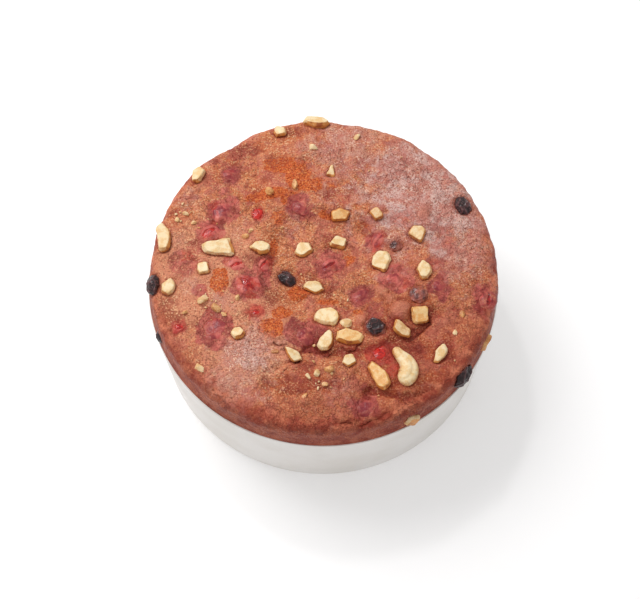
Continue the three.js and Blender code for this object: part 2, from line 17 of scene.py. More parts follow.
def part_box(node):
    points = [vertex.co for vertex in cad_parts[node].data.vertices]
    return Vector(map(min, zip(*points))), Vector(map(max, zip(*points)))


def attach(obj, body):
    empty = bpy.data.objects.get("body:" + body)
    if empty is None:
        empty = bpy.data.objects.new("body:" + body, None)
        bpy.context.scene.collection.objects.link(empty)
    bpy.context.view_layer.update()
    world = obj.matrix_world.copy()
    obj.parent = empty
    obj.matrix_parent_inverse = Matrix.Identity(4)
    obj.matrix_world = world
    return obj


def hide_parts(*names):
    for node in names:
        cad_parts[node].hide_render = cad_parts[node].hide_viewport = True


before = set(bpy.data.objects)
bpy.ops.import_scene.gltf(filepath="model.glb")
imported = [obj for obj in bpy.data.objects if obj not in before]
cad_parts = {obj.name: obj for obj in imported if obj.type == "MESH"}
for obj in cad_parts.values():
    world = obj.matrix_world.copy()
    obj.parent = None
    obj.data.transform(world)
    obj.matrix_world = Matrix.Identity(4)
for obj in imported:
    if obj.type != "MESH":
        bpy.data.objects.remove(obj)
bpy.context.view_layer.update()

# ---- Camera ----
# It looks down over the near edge of the cake from half a metre away, 25 degrees off the plumb
# line, so that the crust fills the picture and a strip of the case's near wall shows.

MM = 0.001
CAMERA_TARGET = Vector((-1.4, -11.4, 50)) * MM
CAMERA_DISTANCE = 500 * MM
CAMERA_ELEVATION = math.radians(65.1)
CAMERA_LENS = 58.3

camera_data = bpy.data.cameras.new("camera")
camera_data.sensor_width = 36
camera_data.lens = CAMERA_LENS
camera = bpy.data.objects.new("camera", camera_data)
bpy.context.collection.objects.link(camera)
camera.location = CAMERA_TARGET + CAMERA_DISTANCE * Vector(
    (0, -math.cos(CAMERA_ELEVATION), math.sin(CAMERA_ELEVATION))
)
camera.rotation_euler = (math.pi / 2 - CAMERA_ELEVATION, 0, 0)
bpy.context.scene.camera = camera

# ---- Paper case ----
# A baking case of stiff white paper. Its wall is one strip bent into a ring and glued where its
# ends overlap. Its floor is a disc of the same paper, joined in a small round at the foot.

CASE_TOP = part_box("paper_case")[1]
RIM_RADIUS = CASE_TOP.x / MM
CASE_HEIGHT = CASE_TOP.z / MM
FOOT_RADIUS = RIM_RADIUS - 1
FOOT_ROUND = 1.4
FLOOR_RINGS = (20, 45, 65, 78)
PAPER = 0.5
WALL_BEARINGS = 288
WALL_LEVELS = 24
# The wall waves very slightly, most at its rim: height of a wave, waves round the rim, phase.
WAVES = [(0.1, 5, 0.4), (0.07, 9, 2.2)]
SLACK = 0.15  # how far the rim draws in
# Where the ends of the strip overlap.
SEAM = {"bearing": math.radians(118), "width": 13, "step": 0.21, "edge": 0.3}


def srgb(red, green, blue):
    """A colour's linear values from its 0 to 255 screen values."""
    shares = [value / 255 for value in (red, green, blue)]
    return tuple(s / 12.92 if s <= 0.04045 else ((s + 0.055) / 1.055) ** 2.4 for s in shares) + (1,)


def smoothstep(low, high, value):
    """0 below low, 1 above high, and a smooth rise between."""
    share = np.clip((value - low) / (high - low), 0, 1)
    return share * share * (3 - 2 * share)


def add_piece(name, points, faces, material, sharp_angle=180, masks=None):
    """An object of a mesh with points in millimetres, smooth except over sharp edges.

    masks holds values for the mesh's points, or one value for them all, by the mask's name.
    """
    mesh = bpy.data.meshes.new(name)
    mesh.from_pydata((np.asarray(points) * MM).tolist(), [], faces)
    mesh.shade_smooth()
    if sharp_angle < 180:
        mesh.set_sharp_from_angle(angle=math.radians(sharp_angle))
    mesh.materials.append(material)
    for mask, values in (masks or {}).items():
        painted_on = mesh.attributes.new(mask, "FLOAT", "POINT")
        painted_on.data.foreach_set("value", np.full(len(points), values, np.float32))
    piece = bpy.data.objects.new(name, mesh)
    bpy.context.collection.objects.link(piece)
    return piece


def feed(node, inputs):
    """Sets a node's sockets, given by name or place, to values or links them to outputs."""
    for socket, value in inputs.items():
        if isinstance(value, bpy.types.NodeSocket):
            node.id_data.links.new(value, node.inputs[socket])
        else:
            node.inputs[socket].default_value = value


def add_node(tree, kind, inputs, **settings):
    """A shader node with its settings and inputs."""
    node = tree.nodes.new("ShaderNode" + kind)
    for setting, value in settings.items():
        setattr(node, setting, value)
    feed(node, inputs)
    return node


def tree_of(*values):
    """The node tree of the outputs among some values."""
    return next(value.id_data for value in values if isinstance(value, bpy.types.NodeSocket))


def blend(factor, first, second, mode="MIX"):
    """The colour between two colours: the first at factor 0, the second at factor 1."""
    inputs = {0: factor, 6: first, 7: second}
    tree = tree_of(*inputs.values())
    return add_node(tree, "Mix", inputs, data_type="RGBA", blend_type=mode).outputs[2]


def ramp(value, low, high, start=0.0, end=1.0):
    """A value's place between low and high, eased, from start to end."""
    inputs = {"Value": value, 1: low, 2: high, 3: start, 4: end}
    return add_node(tree_of(value), "MapRange", inputs, interpolation_type="SMOOTHSTEP").outputs[0]


def noise(tree, size, detail=3.0, distortion=0.0, offset=0.0):
    """Cloudy noise around 0.5, with clouds about one size (mm) across."""
    place = add_node(tree, "TexCoord", {}).outputs["Object"]
    if offset:
        place = add_node(tree, "VectorMath", {0: place, 1: (offset, offset, offset)}).outputs[0]
    inputs = {"Vector": place, "Scale": 1 / (size * MM), "Detail": detail, "Distortion": distortion}
    return add_node(tree, "TexNoise", inputs).outputs["Fac"]


def new_material(name):
    """An empty node material with its Principled BSDF: the tree, the BSDF, the material."""
    material = bpy.data.materials.new(name)
    material.use_nodes = True
    tree = material.node_tree
    return tree, tree.nodes["Principled BSDF"], material


def roughen(shader, height, depth):
    """Feeds a height, 0 to 1 over a depth in millimetres, to the shader's normal."""
    bump = add_node(shader.id_data, "Bump", {"Height": height, "Distance": depth * MM})
    feed(shader, {"Normal": bump.outputs["Normal"]})


def paper_material():
    tree, shader, material = new_material("white_baking_paper")
    cloud = ramp(noise(tree, 22), 0.35, 0.7)
    fibre = noise(tree, 0.7, detail=5, distortion=1.5)
    white = blend(cloud, srgb(236, 232, 228), srgb(229, 224, 218))
    white = blend(ramp(fibre, 0.55, 0.75, 0, 0.25), white, srgb(208, 201, 194))
    feed(shader, {"Base Color": white, "Roughness": 0.62})
    roughen(shader, fibre, 0.035)
    return material


def paper_profile():
    """The section of the case as [radius, height], from the middle of its underside round."""
    def foot(radius, angles):
        centre = FOOT_RADIUS - FOOT_ROUND
        return [[centre + radius * math.cos(a), FOOT_ROUND + radius * math.sin(a)] for a in angles]

    turn = np.linspace(-math.pi / 2, 0, 7)
    outer_wall = [
        [FOOT_RADIUS + s * (RIM_RADIUS - FOOT_RADIUS), FOOT_ROUND + s * (CASE_HEIGHT - FOOT_ROUND)]
        for s in np.linspace(0, 1, WALL_LEVELS)[1:]
    ]
    outside = [[r, 0] for r in FLOOR_RINGS] + foot(FOOT_ROUND, turn) + outer_wall
    inner_wall = [[r - PAPER, z] for r, z in outer_wall[::-1]]
    floor = [[r, PAPER] for r in FLOOR_RINGS[::-1]]
    return np.array(outside + inner_wall + foot(FOOT_ROUND - PAPER, turn[::-1]) + floor)


def around(radius, bearing, height):
    """Points at a distance from the cake's middle, at a bearing and a height."""
    across = [radius * np.cos(bearing), radius * np.sin(bearing)]
    return np.stack(np.broadcast_arrays(*across, height), -1)


def bands(rings):
    """Squares between closed rings of points, each ring a row of its points' numbers."""
    after = np.roll(rings, -1, axis=1)
    squares = np.stack([rings[:-1], rings[1:], after[1:], after[:-1]], -1)
    return squares.reshape(-1, 4).tolist()


def build_case():
    profile = paper_profile()
    bearings = np.linspace(0, 2 * math.pi, WALL_BEARINGS, endpoint=False)
    r, z = profile[:, 0][:, None], profile[:, 1][:, None]
    free = np.clip(z / CASE_HEIGHT, 0, 1) * (r > FOOT_RADIUS - FOOT_ROUND)
    wave = sum(height * np.sin(count * bearings + phase) for height, count, phase in WAVES)
    off_seam = np.abs((bearings - SEAM["bearing"]) * RIM_RADIUS) - SEAM["width"] / 2
    seam = SEAM["step"] * (1 - smoothstep(-SEAM["edge"], SEAM["edge"], off_seam))
    outside = np.arange(len(profile))[:, None] < len(profile) / 2
    radius = r + free * (wave - SLACK) + seam * ((z > FOOT_ROUND) & outside)
    wall = around(radius, bearings, z).reshape(-1, 3)
    points = np.vstack([wall, [[0, 0, 0], [0, 0, PAPER]]])
    rings = np.arange(len(wall)).reshape(len(profile), WALL_BEARINGS)
    fans = [
        [[len(wall), b, a] for a, b in zip(rings[0], np.roll(rings[0], -1))],
        [[len(wall) + 1, a, b] for a, b in zip(rings[-1], np.roll(rings[-1], -1))],
    ]
    return points, bands(rings[::-1]) + np.vstack(fans).tolist()


case = add_piece("baking_case", *build_case(), paper_material(), sharp_angle=50)
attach(case, "root")
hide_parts("paper_case")

# ---- Crust ----
# The cake itself: dense fruit cake, baked brown, its crown nearly flat with a shallow dip in
# the middle and a tight shoulder. Candied fruit stains it, and chopped peel shows in patches.

CAKE_RADIUS = 83
SHOULDER_RADIUS = 5
CROWN_EDGE = CASE_HEIGHT + 14.5
CROWN_RISE = 1.6
DIP = {"depth": 3.2, "floor": 22, "lip": 34}
CROWN_RADIUS = CAKE_RADIUS - SHOULDER_RADIUS
SHOULDER_RUN = SHOULDER_RADIUS * math.pi / 2
SIDE_RUN = 10

# Broad swells: height, length, heading (degrees), phase.
SWELLS = [
    (0.34, 47, 20, 0.6), (0.3, 38, 78, 2.1), (0.27, 31, 131, 4), (0.22, 24, 8, 1.3),
    (0.16, 18, 101, 5.2), (0.12, 13, 55, 3.3),
]
# Mounds and hollows: place, reach, height.
MOUNDS = [
    (-34, -50, 19, 1.5), (0, -66, 15, 1.1), (58, -36, 16, 0.8), (40, 42, 20, 0.7), (-10, 62, 18, 0.6),
    (-62, -16, 14, 0.7), (-66, 38, 12, 0.6), (52, 8, 6, 0.8), (36, -23.6, 4.6, 2),
    (27.5, -35, 4.5, 1.2), (16, -38, 13, -1.3), (38, -10, 8, -0.5), (21, -66, 7, -0.9),
    (58.5, 11.5, 7, 0.6),
]
# Creases where the rising crust folded: depth, width, places.
CREASES = [
    (1, 2.6, [(-6, -40), (3, -46), (15, -45), (31, -41), (45, -33), (51, -24)]),
    (0.8, 1.6, [(-7, -43), (-13, -49), (-21, -53)]),
    (0.8, 2, [(6, -79), (22, -78), (30, -73)]),
    (0.8, 1.8, [(22, -62), (31, -65.5), (41, -66), (51, -62)]),
    (0.9, 2.6, [(20.5, -64), (19, -70), (16, -76)]),
]
# Hair-thin splits, as lines of places.
SPLIT_DEPTH = 0.45
SPLIT_WIDTH = 0.7
SPLITS = [
    [(-22.6, -41.3), (-19.4, -42.6), (-16.5, -41.6)],
    [(-10.3, -48.5), (-13.1, -50.9), (-16.8, -53.7), (-20.1, -56.7), (-21.1, -59.1)],
    [(-27.2, -54.8), (-24, -55.4), (-21.3, -53.8)],
    [(-5.9, -44.9), (1.2, -46.4), (6.7, -42.6), (12.9, -44.2), (18.4, -41.1)],
    [(47.9, -23), (49.4, -31.2), (44.3, -34.7), (38.4, -39.6)],
    [(8, -78.5), (17, -79.5), (26, -76.5)],
]
# Patches of chopped orange peel: place, length, width, turn (degrees), strength.
PEEL = [
    (-17, 54.5, 27, 9, -3, 1), (-12, 48, 14, 12, 10, 1), (-1.5, 43.5, 22, 8, 6, 1),
    (-27, 38, 24, 7, 12, 0.7), (-15.5, 35.5, 12, 9, -30, 0.75), (-21, 25.5, 9, 9, 0, 0.5),
    (-48.4, -8.6, 9.5, 15, 4, 1), (-23.4, -33.9, 13, 10, -25, 1), (-19, -25.2, 10, 7, 15, 0.95),
    (2, -18.6, 12, 5, 0, 0.5), (16.5, -24.5, 8, 4, -30, 0.55), (4.5, 26.8, 15, 6, 0, 0.8),
    (-24, 8, 5, 15, -8, 0.7), (22, 22, 6, 9, 30, 0.6), (-12, -14, 12, 8, 0, 0.6),
    (12, 3, 10, 7, 40, 0.5),
]
# Juice of the candied fruit: how dark it is, from bright red at -0.3 over pink to purple, and
# how far it soaks into the crust (mm).
JUICE = {
    "cherry_bright": (-0.3, 0.4), "cherry_back_purple": (0.35, 3), "cherry_back_left": (0.1, 2),
    "cherry_left_shoulder": (0.55, 1.8), "cherry_left_pink": (0, 2), "cherry_left_slit": (0.4, 2.5),
    "cherry_left_front": (-0.3, 0.8), "cherry_far_left": (-0.2, 1), "cherry_dark": (0.65, 4),
    "cherry_crease": (0.8, 4), "cherry_front": (-0.3, 2), "cherry_right": (0.4, 4),
    "cherry_far_right": (0.75, 2.5), "cherry_right_edge": (0.7, 4), "cherry_near_edge": (0.9, 2.5),
    "cherry_middle": (0.45, 2.5), "fruit_dip_back": (0.7, 2.5), "fruit_dip_right": (0.4, 2.5),
    "fruit_dip_front": (1, 2), "fruit_dip_left": (0.4, 2.5),
}
# Stains of red and purple juice from fruit under the crust: place, reach, strength.
STAINS = [
    (-48.5, 28, 8.5, 0.9), (-48, 40, 3.5, 0.75), (-46.5, 45, 4, 0.65), (-46, 48, 4.5, 0.7),
    (-55, 17.5, 7.5, 0.9), (-61, 8.5, 5, 0.6), (-65.7, 0.5, 8, 0.75), (-58, -1, 4, 0.4),
    (-57.4, -14.2, 4, 0.9), (-35.5, -11, 8.5, 0.95), (-50, -34, 8.5, 0.9), (-45, -40, 4, 0.55),
    (-32, -25, 5.5, 0.7), (-66.4, -32.5, 3.6, 0.8), (-4.5, -36, 8.5, 0.85), (-1, -44, 5, 0.6),
    (12, -43.2, 6.5, 0.55), (27, -45.6, 6.5, 0.9), (32, -54, 4.5, 0.7), (23.5, -26, 6, 0.7),
    (34, -29.5, 4, 0.7), (35, -8, 7, 0.9), (38, -2, 5, 0.5), (53.9, 0.8, 5.5, 0.7), (58, 11, 7.5, 0.7),
    (56.5, 20.5, 6.5, 0.75), (46, 22.5, 6, 0.6), (36.5, 25, 7.5, 0.85), (28, 29, 5, 0.5),
    (21.4, 51, 5, 0.45), (76, -16, 7, 0.85), (83, -19, 6, 0.8), (70, -44, 6, 0.35),
    (19.2, -72, 6.5, 0.85), (20.5, -63.5, 4.5, 0.6), (36, -66, 6, 0.35), (-11, 30, 7, 0.7),
    (25.5, 14, 6, 0.7), (18, -16, 6.5, 0.8), (-26, -22, 4, 0.4), (1, 0, 9, 0.55), (-70, -48, 6, 0.4),
]
# Where the crust is dry and dusty, with painted sheen at far right and near left: place, reach,
# strength.
DUST_AND_SHEEN = [
    (50, 40, 46, 0.9), (12, 66, 26, 0.6), (37.3, 56.4, 11, 0.8), (53, 34, 12, 1), (20.3, 38, 9, 0.65),
    (-33, -47, 17, 0.7), (-40, -58, 18, 0.5), (-66, 36, 9, 0.35), (68, 5, 20, 0.62), (6, -62, 10, 0.25),
    (-40, 17, 8, 0.3), (-14, 22, 8, 0.35), (-47, -21, 9, 0.45), (-63, -12, 8, 0.35), (-70, 12, 8, 0.3),
]
# Painted light: where the crust is palest, most on its lit left side and near-left mound: place, reach.
LIT_SPOTS = [
    (-52, -8, 24), (-56, 0, 18), (-34, -46, 18), (-30, -42, 16), (-32, -52, 13), (14, -38, 12),
]
# Small smooth bumps where fruit lies just under the crust, with painted highlight: place, reach,
# height.
BUMPS = [
    (36, -24.4, 4.6, 1.8), (27.2, -14.2, 3, 1.5), (23.6, -11.2, 2.2, 1), (31.2, -17.6, 2.6, 1.2),
    (17.2, -28.4, 3.2, 1.2), (-13.6, -56.4, 1.6, 0.5), (-8.4, -68.6, 1.7, 0.5), (-57, -56, 1.6, 0.4),
    (57, -30, 1.8, 0.5), (-24, -40, 2.6, 0.7), (-60, 44, 3, 0.5), (14, 58, 3, 0.5), (-30, 60, 3.4, 0.4),
    (49, 27, 3.4, 0.7),
]
# The rings of the crust's mesh: its crown, shoulder and side, in steps of 0.65 mm or less.
CROWN_RINGS = 118
SHOULDER_RINGS = 13
SIDE_RINGS = 15
FRUIT_SUNK = 1.6  # how far the crust lies under the skin of its fruit
RIM_GAP = 0.1  # between the crust and the case
# The rings of the wall inside the case: gap to the case, height.
HIDDEN_RINGS = [(0.4, CASE_HEIGHT - 1), (1.4, FOOT_ROUND + 0.3), (2.8, PAPER + 0.3)]
# How far off (mm) the crust feels its nuts and raisins, and its fruit.
FIRM_REACH = 5
FRUIT_REACH = 9


def distance_to_path(x, y, path):
    """Distance from places to a line through several points."""
    nearest = np.full(np.shape(x), np.inf)
    for (x0, y0), (x1, y1) in zip(path, path[1:]):
        dx, dy = x1 - x0, y1 - y0
        along = np.clip(((x - x0) * dx + (y - y0) * dy) / (dx * dx + dy * dy), 0, 1)
        nearest = np.minimum(nearest, np.hypot(x - x0 - along * dx, y - y0 - along * dy))
    return nearest


def hump(distance, width):
    """A smooth hump: 1 at no distance, and next to nothing beyond two widths."""
    return np.exp(-((distance / width) ** 2))


def turned(x, y, degrees):
    """Places measured along a heading and across it."""
    cos, sin = math.cos(math.radians(degrees)), math.sin(math.radians(degrees))
    return x * cos + y * sin, y * cos - x * sin


def crown_height(x, y):
    """Height of the top of the cake, inside the shoulder."""
    r = np.hypot(x, y)
    z = CROWN_EDGE + CROWN_RISE * (1 - (r / CROWN_RADIUS) ** 2)
    z = z - DIP["depth"] * (1 - smoothstep(DIP["floor"], DIP["lip"], r))
    for height, length, heading, phase in SWELLS:
        z = z + height * np.sin(2 * math.pi * turned(x, y, heading)[0] / length + phase)
    for at_x, at_y, reach, height in MOUNDS:
        z = z + height * hump(np.hypot(x - at_x, y - at_y), reach)
    for depth, width, path in CREASES:
        z = z - depth * hump(distance_to_path(x, y, path), width)
    return z


def crust_point(distance, bearing):
    """The points at distances along the crust from the middle: crown, shoulder, then side."""
    waves = 0.3 * np.cos(bearing) + 0.25 * np.sin(3 * bearing + 1) + 0.2 * np.sin(7 * bearing + 2)
    inner = np.minimum(distance, CROWN_RADIUS)
    crown = crown_height(inner * np.cos(bearing), inner * np.sin(bearing))
    lean = np.clip((distance - CROWN_RADIUS) / SHOULDER_RADIUS, 0, math.pi / 2)
    down = np.clip((distance - CROWN_RADIUS - SHOULDER_RUN) / SIDE_RUN, 0, 1)
    under_shoulder = crown - SHOULDER_RADIUS * (1 - np.cos(lean))
    shoulder_edge = inner + (SHOULDER_RADIUS + waves) * np.sin(lean)
    r = shoulder_edge + (RIM_RADIUS - PAPER - RIM_GAP - shoulder_edge) * down * down
    z = under_shoulder + (CASE_HEIGHT - under_shoulder) * down
    return around(r, bearing, z)


def ring_grid():
    """A grid of squares bent into rings: the distance and bearing of each of its corners."""
    rings = CROWN_RINGS + SHOULDER_RINGS + SIDE_RINGS
    ring = np.arange(rings + 1)
    distances = (
        CROWN_RADIUS * np.clip(ring / CROWN_RINGS, 0, 1)
        + SHOULDER_RUN * np.clip((ring - CROWN_RINGS) / SHOULDER_RINGS, 0, 1)
        + SIDE_RUN * np.clip((ring - CROWN_RINGS - SHOULDER_RINGS) / SIDE_RINGS, 0, 1)
    )
    steps = np.arange(-rings, rings + 1)
    row, column = np.meshgrid(steps, steps, indexing="ij")
    nearest = np.maximum(np.abs(row), np.abs(column))
    sideways = np.abs(column) >= np.abs(row)
    larger = np.where(sideways, column, row)
    larger = np.where(larger == 0, 1, larger)
    east = math.pi / 4 * (row / larger) + np.where(column < 0, math.pi, 0)
    north = math.pi / 2 - math.pi / 4 * (column / larger) + np.where(row < 0, math.pi, 0)
    return distances[nearest].ravel(), np.where(sideways, east, north).ravel(), rings


def nearest_surface(tree, points, reach):
    """Signed distance (mm) from points to a surface, up to a reach, positive outside it."""
    distances = np.full(len(points), float(reach))
    for i, point in enumerate(points):
        found, _, _, distance = tree.find_nearest(point, reach)
        if found is None:
            continue
        # inside, the next surface overhead faces up
        _, overhead, _, _ = tree.ray_cast(point, (0, 0, 1))
        distances[i] = -distance if overhead is not None and overhead.z > 0 else distance
    return distances


def surface_of(names):
    """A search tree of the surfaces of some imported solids, in millimetres."""
    points, faces = [], []
    for name in names:
        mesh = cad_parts[name].data
        faces += [[len(points) + i for i in polygon.vertices] for polygon in mesh.polygons]
        points += [vertex.co / MM for vertex in mesh.vertices]
    return BVHTree.FromPolygons(points, faces)


def normals_of(points, faces):
    """Vertex normals of a mesh."""
    mesh = bpy.data.meshes.new("normals")
    mesh.from_pydata(np.asarray(points).tolist(), [], faces)
    normals = np.empty(3 * len(points), np.float32)
    mesh.vertex_normals.foreach_get("vector", normals)
    bpy.data.meshes.remove(mesh)
    return normals.reshape(-1, 3)


def lumps(points, size, seed):
    """Smooth random values from -1 to 1 at points, with lumps about one size across."""
    cell = np.asarray(points, float) / size + 11.7 * seed
    low = np.floor(cell).astype(np.int64)
    ease = smoothstep(0, 1, cell - low)
    total = np.zeros(len(cell))
    for corner in itertools.product((0, 1), repeat=3):
        at = low + corner
        key = (at[:, 0] * 73856093) ^ (at[:, 1] * 19349663) ^ (at[:, 2] * 83492791)
        key = ((key ^ (key >> 13)) * 1274126177) & 0xFFFFFFFF
        value = ((key ^ (key >> 16)) & 0xFFFF) / 32767.5 - 1
        total += value * np.prod(np.where(corner, ease, 1 - ease), axis=1)
    return total


def crust_relief(points, x, y, split, near_firm, near_fruit):
    """The crust's fine relief, a mask of painted shade in its hollows, and one of highlight on its
    bumps.
    """
    # smoother in some places than in others
    calm = 0.4 + 0.6 * smoothstep(-0.5, 0.4, lumps(points, 26, 5))
    relief = 0.55 * lumps(points, 9, 1) + 0.4 * lumps(points, 4.2, 2) * calm
    bulge_highlight = np.zeros(len(points))
    for at_x, at_y, reach, height in BUMPS:
        away = np.hypot(x - at_x, y - at_y) / reach
        bump = np.exp(-(away**3))
        bulge_highlight = np.maximum(bulge_highlight, min(height, 1) * bump)
        relief += height * (bump - 0.3 * hump(away - 1.3, 0.3))
    for _, width, path in CREASES:
        relief -= 0.9 * hump(distance_to_path(x, y, path), 0.7 * width)
    relief -= SPLIT_DEPTH * hump(split, SPLIT_WIDTH)
    # a mask for painted shade and light: 1 down in the relief's hollows, 0 on its tops
    hollow_shade = 1 - smoothstep(-0.7, 0.0, relief + 0.1 * lumps(points, 2, 7))
    relief += 0.26 * lumps(points, 2.4, 3) * calm + 0.16 * lumps(points, 1.5, 4)
    # batter swells a little way off each nut and raisin and lies lower right at its foot, and
    # it rises to the edge of the fruit
    outside = np.maximum(near_firm, 0)
    swell = 0.4 * hump(outside - 1.7, 1.2) - 0.35 * hump(outside, 0.6)
    relief += swell * (near_firm < FIRM_REACH)
    relief += 0.15 * hump(near_fruit, 2) * (near_fruit < FRUIT_REACH)
    relief -= FRUIT_SUNK * (1 - smoothstep(-0.9, 0.1, near_fruit))
    return relief, hollow_shade, bulge_highlight


def spotted(spots, x, y, ragged, low, high):
    """A mask of ragged round spots, each given by its place, reach and strength."""
    mask = np.zeros(len(x))
    for at_x, at_y, reach, strength in spots:
        away = np.hypot(x - at_x, y - at_y) / reach + ragged
        mask = np.maximum(mask, strength * (1 - smoothstep(low, high, away)))
    return mask


def peel_mask(x, y, ragged):
    """A mask of the patches of peel."""
    mask = np.zeros(len(x))
    for at_x, at_y, length, width, turn, strength in PEEL:
        along, aside = turned(x - at_x, y - at_y, turn)
        reach = np.hypot(along / (length / 2), aside / (width / 2)) + ragged
        mask = np.maximum(mask, strength * (1 - smoothstep(0.65, 1.2, reach)))
    return mask


def juice_masks(points, x, y, ragged, near_fruit):
    """How much the juice of the nearest fruit stains the crust, and how dark that juice is."""
    meshes = [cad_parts[name].data for name in JUICE]
    middles = np.array([np.mean([v.co / MM for v in mesh.vertices], axis=0) for mesh in meshes])
    stray_x, stray_y = (along + 2.5 * lumps(points, 7, seed) for along, seed in ((x, 35), (y, 36)))
    away = np.hypot(stray_x[:, None] - middles[:, 0], stray_y[:, None] - middles[:, 1])
    share = hump(away, 6) + 1e-6
    dark, soak = (share @ np.array(list(JUICE.values())) / share.sum(axis=1)[:, None]).T
    soak = soak + (3 * ragged + 3 * lumps(points, 5, 34)) * smoothstep(0.4, 2, soak)
    return 1 - smoothstep(-0.8, 2.0, near_fruit - soak), dark


def side_shade_mask(points, x, y):
    """Painted shade, darker towards the near right away from the lamps; painted light at the lit spots.
    """
    bake = smoothstep(0.12, 1.05, (0.45 * x - 0.85 * y) / 62 + 0.2 * lumps(points, 22, 8))
    for at_x, at_y, reach in LIT_SPOTS:
        bake -= 0.55 * hump(np.hypot(x - at_x, y - at_y), reach)
    return bake


def close_underside(points, faces, rim):
    """Adds the wall inside the case, from the crust's rim down, and the flat underside."""
    bearing = np.arctan2(points[rim, 1], points[rim, 0])
    above = rim
    for gap, height in HIDDEN_RINGS:
        below = np.arange(len(points), len(points) + len(rim))
        points = np.vstack([points, around(RIM_RADIUS - PAPER - gap, bearing, height)])
        faces += bands(np.stack([above, below]))
        above = below
    middle = len(points)
    faces += [(int(a), middle, int(b)) for a, b in zip(above, np.roll(above, -1))]
    return np.vstack([points, [[0, 0, height]]]), faces


def build_crust():
    """The crust down to the foot of the case, and the masks of its colours."""
    distance, bearing, rings = ring_grid()
    x, y = distance * np.cos(bearing), distance * np.sin(bearing)
    points = crust_point(distance, bearing)
    corner = np.arange(len(points)).reshape(2 * rings + 1, -1)
    squares = np.stack([corner[:-1, :-1], corner[:-1, 1:], corner[1:, 1:], corner[1:, :-1]], -1)
    faces = squares.reshape(-1, 4).tolist()
    normals = normals_of(points, faces)

    toppings = [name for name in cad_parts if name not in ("cake", "paper_case")]
    fruit = [name for name in toppings if name.startswith(("cherry", "fruit"))]
    firm = [name for name in toppings if name not in fruit]
    near_firm = nearest_surface(surface_of(firm), points, FIRM_REACH)
    near_fruit = nearest_surface(surface_of(fruit), points, FRUIT_REACH)
    warp_x = x + 1.0 * lumps(points, 3.5, 21) + 0.5 * lumps(points, 1.5, 23)
    warp_y = y + 1.0 * lumps(points, 3.5, 22) + 0.5 * lumps(points, 1.5, 24)
    split = np.min([distance_to_path(warp_x, warp_y, path) for path in SPLITS], axis=0)
    split += 0.8 * np.maximum(lumps(points, 4, 25), 0)
    relief, hollow_shade, bulge_highlight = crust_relief(points, warp_x, warp_y, split, near_firm, near_fruit)
    free = 1 - smoothstep(SHOULDER_RUN, SHOULDER_RUN + SIDE_RUN * 0.9, distance - CROWN_RADIUS)
    points = points + normals * (relief * free)[:, None]

    ragged = 0.22 * lumps(points, 3, 31) + 0.16 * lumps(points, 1.4, 32)
    dusty = ragged + 0.25 * lumps(points, 6, 33)
    stain, dark = juice_masks(points, x, y, ragged, near_fruit)
    # painted shade: the edge's darker band reaches 3 mm further in on the near side
    near_side_shade = -3 * np.sin(bearing)
    masks = {
        "peel": peel_mask(x, y, ragged),
        "stain": np.maximum(stain, spotted(STAINS, warp_x, warp_y, ragged, 0.6, 1.35)),
        "dark": dark,
        "edge": smoothstep(CROWN_RADIUS - 3, CROWN_RADIUS + 7, distance + 6 * ragged + near_side_shade),
        # dusty crust, and painted sheen where it is palest
        "dust": spotted(DUST_AND_SHEEN, warp_x, warp_y, dusty, 0.3, 1.2),
        "bake": side_shade_mask(points, x, y),
        "hollow_shade": hollow_shade,
        "split": split,
        "bulge_highlight": bulge_highlight,
        # where nuts and raisins sit, for painted shade round their feet
        "seat": 1 - smoothstep(0.1, 1.4, np.maximum(near_firm, 0)),
    }
    rim = np.concatenate([corner[0, :-1], corner[:-1, -1], corner[-1, :0:-1], corner[:0:-1, 0]])
    points, faces = close_underside(points, faces, rim)
    hidden = len(points) - len(distance)
    masks = {mask: np.append(values, np.full(hidden, values[-1])) for mask, values in masks.items()}
    return points, faces, masks


def calculate(operation, *values):
    """The result of a calculation with one, two or three values."""
    return add_node(tree_of(*values), "Math", dict(enumerate(values)), operation=operation).outputs[0]


def times(first, *others):
    """The product of some values."""
    for other in others:
        first = calculate("MULTIPLY", first, other)
    return first


def layered(colour, *layers):
    """A colour under layers of others, each a mask and a colour, from the lowest up."""
    for mask, over in layers:
        colour = blend(mask, colour, over)
    return colour


def painted(tree, mask):
    """A mask that is stored on the mesh."""
    return add_node(tree, "Attribute", {}, attribute_name=mask).outputs["Fac"]


def new_group(name, masks, outputs):
    """A node group with named masks as its inputs: its tree, the masks and its output node."""
    group = bpy.data.node_groups.new(name, "ShaderNodeTree")
    for mask in masks:
        group.interface.new_socket(mask, in_out="INPUT", socket_type="NodeSocketFloat")
    for output, kind in outputs.items():
        group.interface.new_socket(output, in_out="OUTPUT", socket_type="NodeSocket" + kind)
    given = group.nodes.new("NodeGroupInput").outputs[:len(masks)]
    return group, given, group.nodes.new("NodeGroupOutput")


def use_group(tree, group, masks):
    """A node group in a tree, with a value or an output for each of its masks: its outputs."""
    return add_node(tree, "Group", masks, node_tree=group).outputs


def juice_group():
    """Candied fruit, and crust that it stains: ragged patches of pink, red and maroon."""
    group, (dark,), result = new_group("fruit_juice", ["Dark"], {"Color": "Color"})
    shade = noise(group, 8, distortion=1.6, offset=1.7)
    streak = ramp(noise(group, 4.5, distortion=1.2, offset=2.2), 0.32, 0.68)
    pink = blend(streak, srgb(212, 116, 102), srgb(186, 78, 76))
    maroon = blend(streak, srgb(174, 78, 72), srgb(128, 42, 48))
    red = blend(streak, srgb(206, 78, 62), srgb(160, 38, 34))
    darkest = ramp(calculate("MULTIPLY_ADD", dark, 0.26, shade), 0.54, 0.66)
    reddest = times(ramp(noise(group, 9, offset=1.9), 0.55, 0.6), ramp(dark, 0.75, 0.25))
    reddest = calculate("MAXIMUM", reddest, ramp(dark, 0, -0.3))
    feed(result, {"Color": layered(pink, (darkest, maroon), (reddest, red))})
    return group


